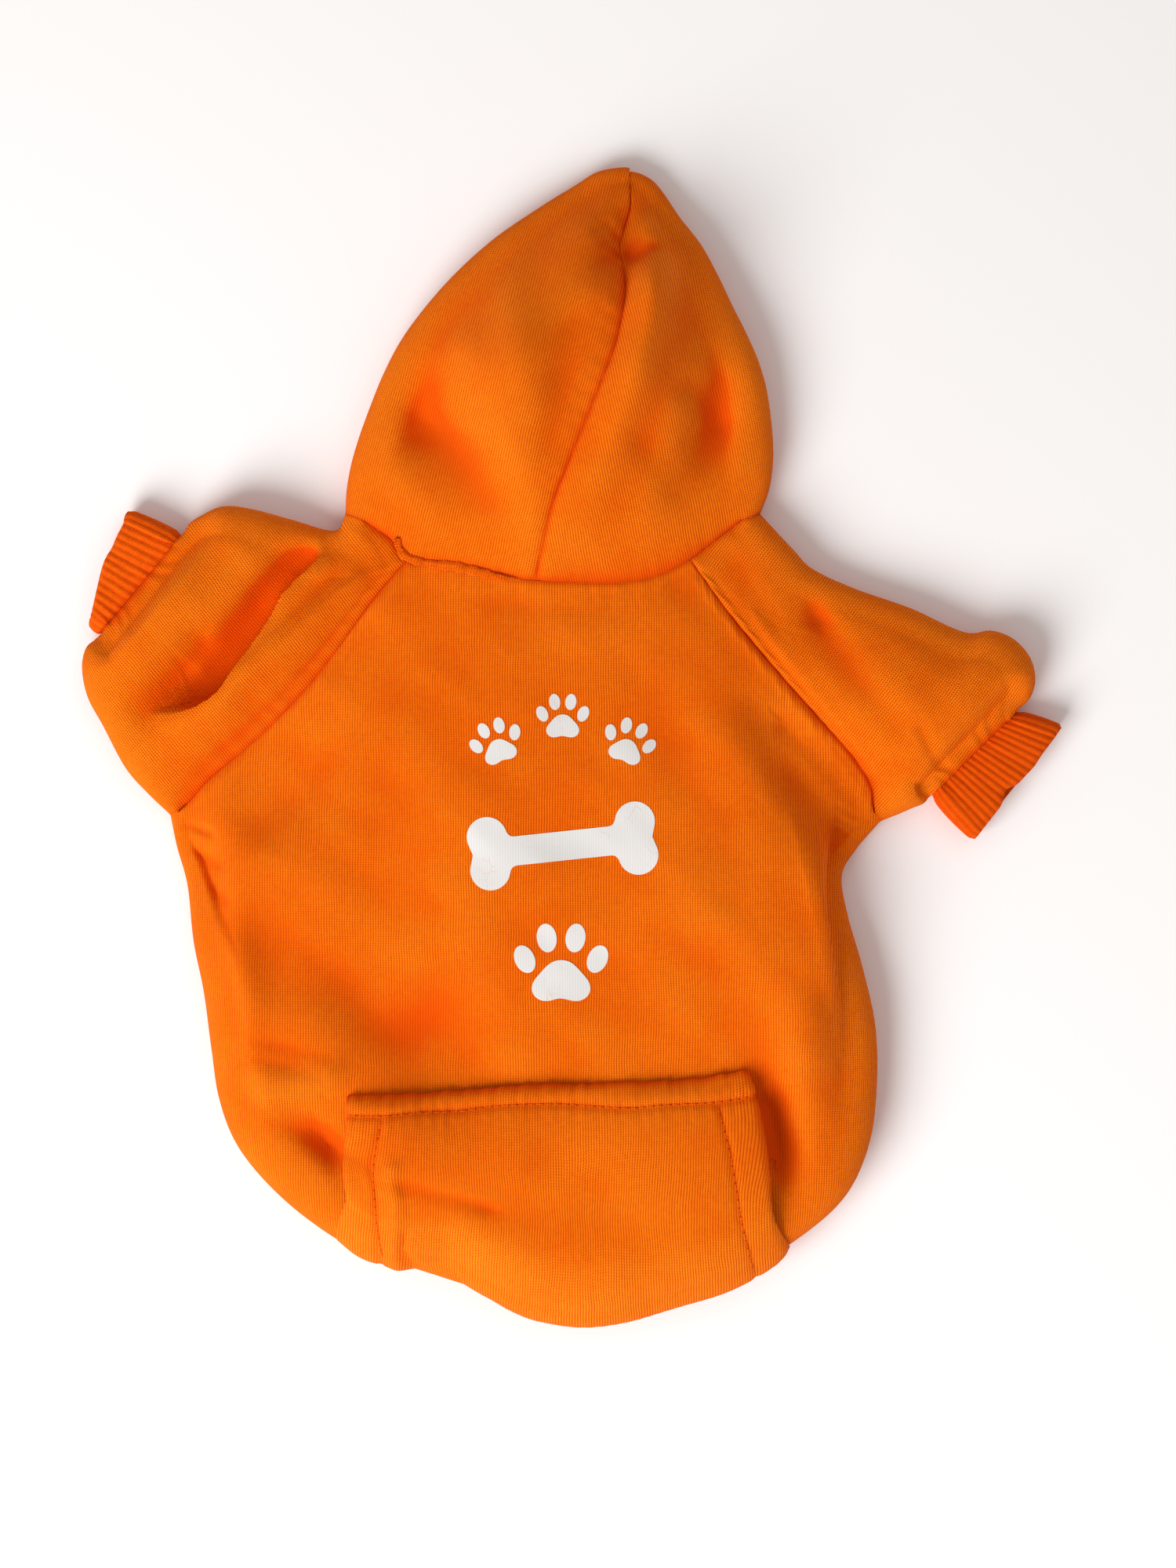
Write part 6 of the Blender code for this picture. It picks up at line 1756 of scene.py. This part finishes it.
# the seam allowance that shows under the hood's left half, with its overlocked edge
sergeSizes = {
    "line": [
        (508, 688), (511, 701), (520, 712), (540, 718), (563, 722), (583, 724), (603, 729),
        (620, 733), (637, 738), (652, 740), (666, 741),
    ],
    "halfWide": [
        1.0 * mm, 1.4 * mm, 1.4 * mm, 1.1 * mm, 1.6 * mm, 1.7 * mm, 1.5 * mm, 1.5 * mm, 1.2 * mm,
        0.9 * mm, 0.3 * mm,
    ],
    "halfHigh": 0.85 * mm,
    "threads": {
        "Spacing": 0.8 * mm,
        "Length": 2.5 * mm,
        "Width": 0.34 * mm,
        "Height": 0.3 * mm,
        "Turn": math.radians(68),
        "Wobble": 0.28,
    },
}


def makeSerge(sizes):
    flat = smoothLine(photoLine(*sizes["line"]), 150)
    share = np.linspace(0.0, 1.0, len(flat))
    wide = np.interp(share, np.linspace(0, 1, len(sizes["halfWide"])), sizes["halfWide"])
    wide *= 1 + 0.14 * np.sin(share * 61) + 0.08 * np.sin(share * 143 + 1)
    high = np.minimum(sizes["halfHigh"], wide * 0.85)
    aside = -lineNormals(flat)
    names = ["backPanel", "hoodLeft", "sleeveLeft"]
    beds = [laidOn(names, flat + aside * wide[:, None] * k, 0.0)[:, 2] for k in (-0.8, 0.0, 0.8)]
    bed = runningMean(np.max(beds, axis=0), 4)
    line = np.column_stack([flat, bed + 0.05 * high])
    band = addTube("neckSeamEdge", line, wide, high, 14, 0.05 * mm, 0.25)
    return band, line + np.array([0.0, 0.0, 1.0]) * (high * 0.92)[:, None]


seamEdge, sergeTop = makeSerge(sergeSizes)

# stitches along a line: one small shape at even steps, a little unlike its neighbours
stitchSizes = {
    "thread": {
        "Spacing": 2.75 * mm,
        "Length": 1.95 * mm,
        "Width": 0.46 * mm,
        "Height": 0.5 * mm,
        "Turn": 0.0,
        "Wobble": 0.07,
    },
    "hole": {
        "Spacing": 2.75 * mm,
        "Length": 1.0 * mm,
        "Width": 0.62 * mm,
        "Height": 0.34 * mm,
        "Turn": 0.0,
        "Wobble": 0.15,
    },
    "margin": 1.2 * mm,
    "above": {"thread": 0.06 * mm, "hole": 0.04 * mm},
}


def makeStitchTree(name):
    tree = bpy.data.node_groups.new(name, "GeometryNodeTree")
    sockets = {}
    for label, kind in (
        ("Line", "Geometry"), ("Spacing", "Float"), ("Length", "Float"), ("Width", "Float"),
        ("Height", "Float"), ("Turn", "Float"), ("Wobble", "Float"), ("Finish", "Material"),
    ):
        sockets[label] = tree.interface.new_socket(label, in_out="INPUT", socket_type="NodeSocket" + kind)
    for label, value in stitchSizes["thread"].items():
        sockets[label].default_value = value
    tree.interface.new_socket("Stitches", in_out="OUTPUT", socket_type="NodeSocketGeometry")

    def add(kind, settings=None, inputs=None):
        made = tree.nodes.new(kind)
        for key, value in (settings or {}).items():
            setattr(made, key, value)
        for key, value in (inputs or {}).items():
            if isinstance(value, bpy.types.NodeSocket):
                tree.links.new(value, made.inputs[key])
            else:
                made.inputs[key].default_value = value
        return made

    given = add("NodeGroupInput").outputs
    curve = add("GeometryNodeMeshToCurve", {}, {0: given["Line"]}).outputs[0]
    steps = {"Curve": curve, "Length": given["Spacing"]}
    steps = add("GeometryNodeResampleCurve", {"mode": "LENGTH"}, steps).outputs[0]
    stitch = add("GeometryNodeMeshUVSphere", {}, {"Segments": 6, "Rings": 6, "Radius": 0.5}).outputs[0]
    # the ball's poles lie along Z, so it's turned to lie along X
    stitch = add("GeometryNodeTransform", {}, {0: stitch, "Rotation": (0.0, math.pi / 2, 0.0)}).outputs[0]
    tangent = add("GeometryNodeInputTangent").outputs[0]
    lying = add("FunctionNodeAlignRotationToVector", {"axis": "X"}, {"Vector": tangent}).outputs[0]
    low = add("ShaderNodeMath", {"operation": "MULTIPLY"}, {0: given["Wobble"], 1: -1.0}).outputs[0]
    wobble = {2: low, 3: given["Wobble"], "Seed": 7}
    wobble = add("FunctionNodeRandomValue", {"data_type": "FLOAT"}, wobble).outputs[1]
    angle = add("ShaderNodeMath", {"operation": "ADD"}, {0: given["Turn"], 1: wobble}).outputs[0]
    euler = add("ShaderNodeCombineXYZ", {}, {2: angle}).outputs[0]
    spin = add("FunctionNodeEulerToRotation", {}, {0: euler}).outputs[0]
    turned = add("FunctionNodeRotateRotation", {"rotation_space": "LOCAL"}, {0: lying, 1: spin}).outputs[0]
    unlike = add("FunctionNodeRandomValue", {"data_type": "FLOAT"}, {2: 0.85, 3: 1.12, "Seed": 11}).outputs[1]
    length = add("ShaderNodeMath", {"operation": "MULTIPLY"}, {0: given["Length"], 1: unlike}).outputs[0]
    scale = add("ShaderNodeCombineXYZ", {}, {0: length, 1: given["Width"], 2: given["Height"]}).outputs[0]
    laid = {"Points": steps, "Instance": stitch, "Rotation": turned, "Scale": scale}
    laid = add("GeometryNodeInstanceOnPoints", {}, laid).outputs[0]
    real = add("GeometryNodeRealizeInstances", {}, {0: laid}).outputs[0]
    smooth = add("GeometryNodeSetShadeSmooth", {}, {0: real}).outputs[0]
    finished = {"Geometry": smooth, "Material": given["Finish"]}
    finished = add("GeometryNodeSetMaterial", {}, finished).outputs[0]
    tree.links.new(finished, add("NodeGroupOutput").inputs[0])
    return tree, {label: socket.identifier for label, socket in sockets.items()}


stitchTree, stitchInputs = makeStitchTree("stitches along a line")


def stitchRun(name, lines, sizes, finish):
    mesh = bpy.data.meshes.new(name)
    edges, start = [], 0
    for line in lines:
        edges += [(start + k, start + k + 1) for k in range(len(line) - 1)]
        start += len(line)
    mesh.from_pydata(np.concatenate(lines).tolist(), edges, [])
    run = addObject(name, mesh)
    modifier = run.modifiers.new("stitches", "NODES")
    modifier.node_group = stitchTree
    for label, value in sizes.items():
        modifier[stitchInputs[label]] = value
    modifier[stitchInputs["Finish"]] = finish
    graph = bpy.context.evaluated_depsgraph_get()
    plain = bpy.data.meshes.new_from_object(run.evaluated_get(graph))
    run.modifiers.clear()
    run.data = plain
    return run


def pocketRun(name, above, shift):
    fine = smoothLine(photoLine(*pocketSizes[name]), 160)
    reached, margin = reachedAlong(fine), stitchSizes["margin"]
    kept = (reached > margin + shift) & (reached < reached[-1] - margin - shift)
    return laidOn(["patchPocket"], fine[kept], above)


def pocketRuns(name, kind, shift, finish):
    above = stitchSizes["above"][kind]
    lines = [pocketRun(line, above, shift) for line in ("hem", "leftStrip", "rightStrip")]
    return stitchRun(name, lines, stitchSizes[kind], finish)


pocketStitches = pocketRuns("pocketStitches", "thread", 0.0, seamThread)
# dark marks between the stitches: painted shade in the needle holes
pocketHoleShade = pocketRuns("pocketStitchHoleShade", "hole", stitchSizes["thread"]["Spacing"] / 2, holeShade)
overlock = stitchRun("neckOverlock", [sergeTop[3:-6]], sergeSizes["threads"], seamThread)

threadSizes = {
    "line": [(979, 1478), (984, 1474), (988, 1479), (986, 1486), (991, 1489)],
    "above": 0.35 * mm,
    "half": 0.17 * mm,
}


def makeLooseThread(sizes):
    line = smoothLine(laidOn(["backPanel"], photoLine(*sizes["line"]), sizes["above"]), 40)
    half = np.full(len(line), sizes["half"])
    return addTube("looseThread", line, half, half, 6, 0.0, 0.0)


looseThread = makeLooseThread(threadSizes)
print("seam edge and stitches made")

# ---- which cloth replaces which solid

dressed(backPanel, fleece, "back_panel", "laid")
dressed(bellyPanel, fleece, "belly_panel", "laid")
dressed(hemBand, ribbing, "hem_band", "laid")
for side in ("left", "right"):
    dressed(hoods[side], fleece, "hood_" + side, "folded")
    dressed(sleeves[side], fleece, "sleeve_" + side, "folded")
    dressed(cuffs[side], ribbing, "cuff_" + side, "laid")
dressed(pocket, fleece, "pocket", "laid")
for piece, finish in (
    (backPrint, printWhite), (seamEdge, fleece), (overlock, seamThread),
    (pocketStitches, seamThread), (pocketHoleShade, holeShade), (looseThread, seamThread),
):
    dressed(piece, finish, None)

# ---- floor, light and camera

studio = {
    "floor": 3.0,
    "floorLevel": -0.2 * mm,
    "floorColour": (0.96, 0.96, 0.96, 1.0),
    "world": 0.42,
    "worldColour": (1.0, 0.92, 0.88, 1.0),
    # place, size, power
    "lamps": {"key": ((-0.85, -1.0, 1.05), 1.2, 31.5), "fill": ((0.5, 0.9, 1.4), 1.4, 2.5)},
    "lens": 107.3,
    "sensor": 36.0,
    "camera": (4.6 * mm, -11.9 * mm, 1.5),
}


def makeStudio(sizes):
    mesh = bpy.data.meshes.new("floor")
    h, z = sizes["floor"], sizes["floorLevel"]
    mesh.from_pydata([(-h, -h, z), (h, -h, z), (h, h, z), (-h, h, z)], [], [(0, 1, 2, 3)])
    floor = addObject("floor", mesh)
    finish = Finish("floor")
    finish.set(Base_Color=sizes["floorColour"], Roughness=0.9, Specular_IOR_Level=0.1)
    mesh.materials.append(finish.material)
    world = bpy.data.worlds.new("studio")
    world.use_nodes = True
    background = world.node_tree.nodes["Background"]
    background.inputs[0].default_value = sizes["worldColour"]
    background.inputs[1].default_value = sizes["world"]
    bpy.context.scene.world = world
    for name, (place, size, power) in sizes["lamps"].items():
        lamp = bpy.data.lights.new(name, "AREA")
        lamp.shape, lamp.size, lamp.energy = "DISK", size, power
        light = addObject(name, lamp)
        light.location = place
        # turned to the middle of the hoodie
        light.rotation_euler = (-Vector(place)).to_track_quat("-Z", "Y").to_euler()
    lens = bpy.data.cameras.new("camera")
    lens.lens, lens.sensor_width, lens.sensor_fit = sizes["lens"], sizes["sensor"], "AUTO"
    camera = addObject("camera", lens)
    camera.location = sizes["camera"]
    bpy.context.scene.camera = camera
    bpy.context.scene.view_settings.view_transform = "Standard"


makeStudio(studio)
print("studio made")
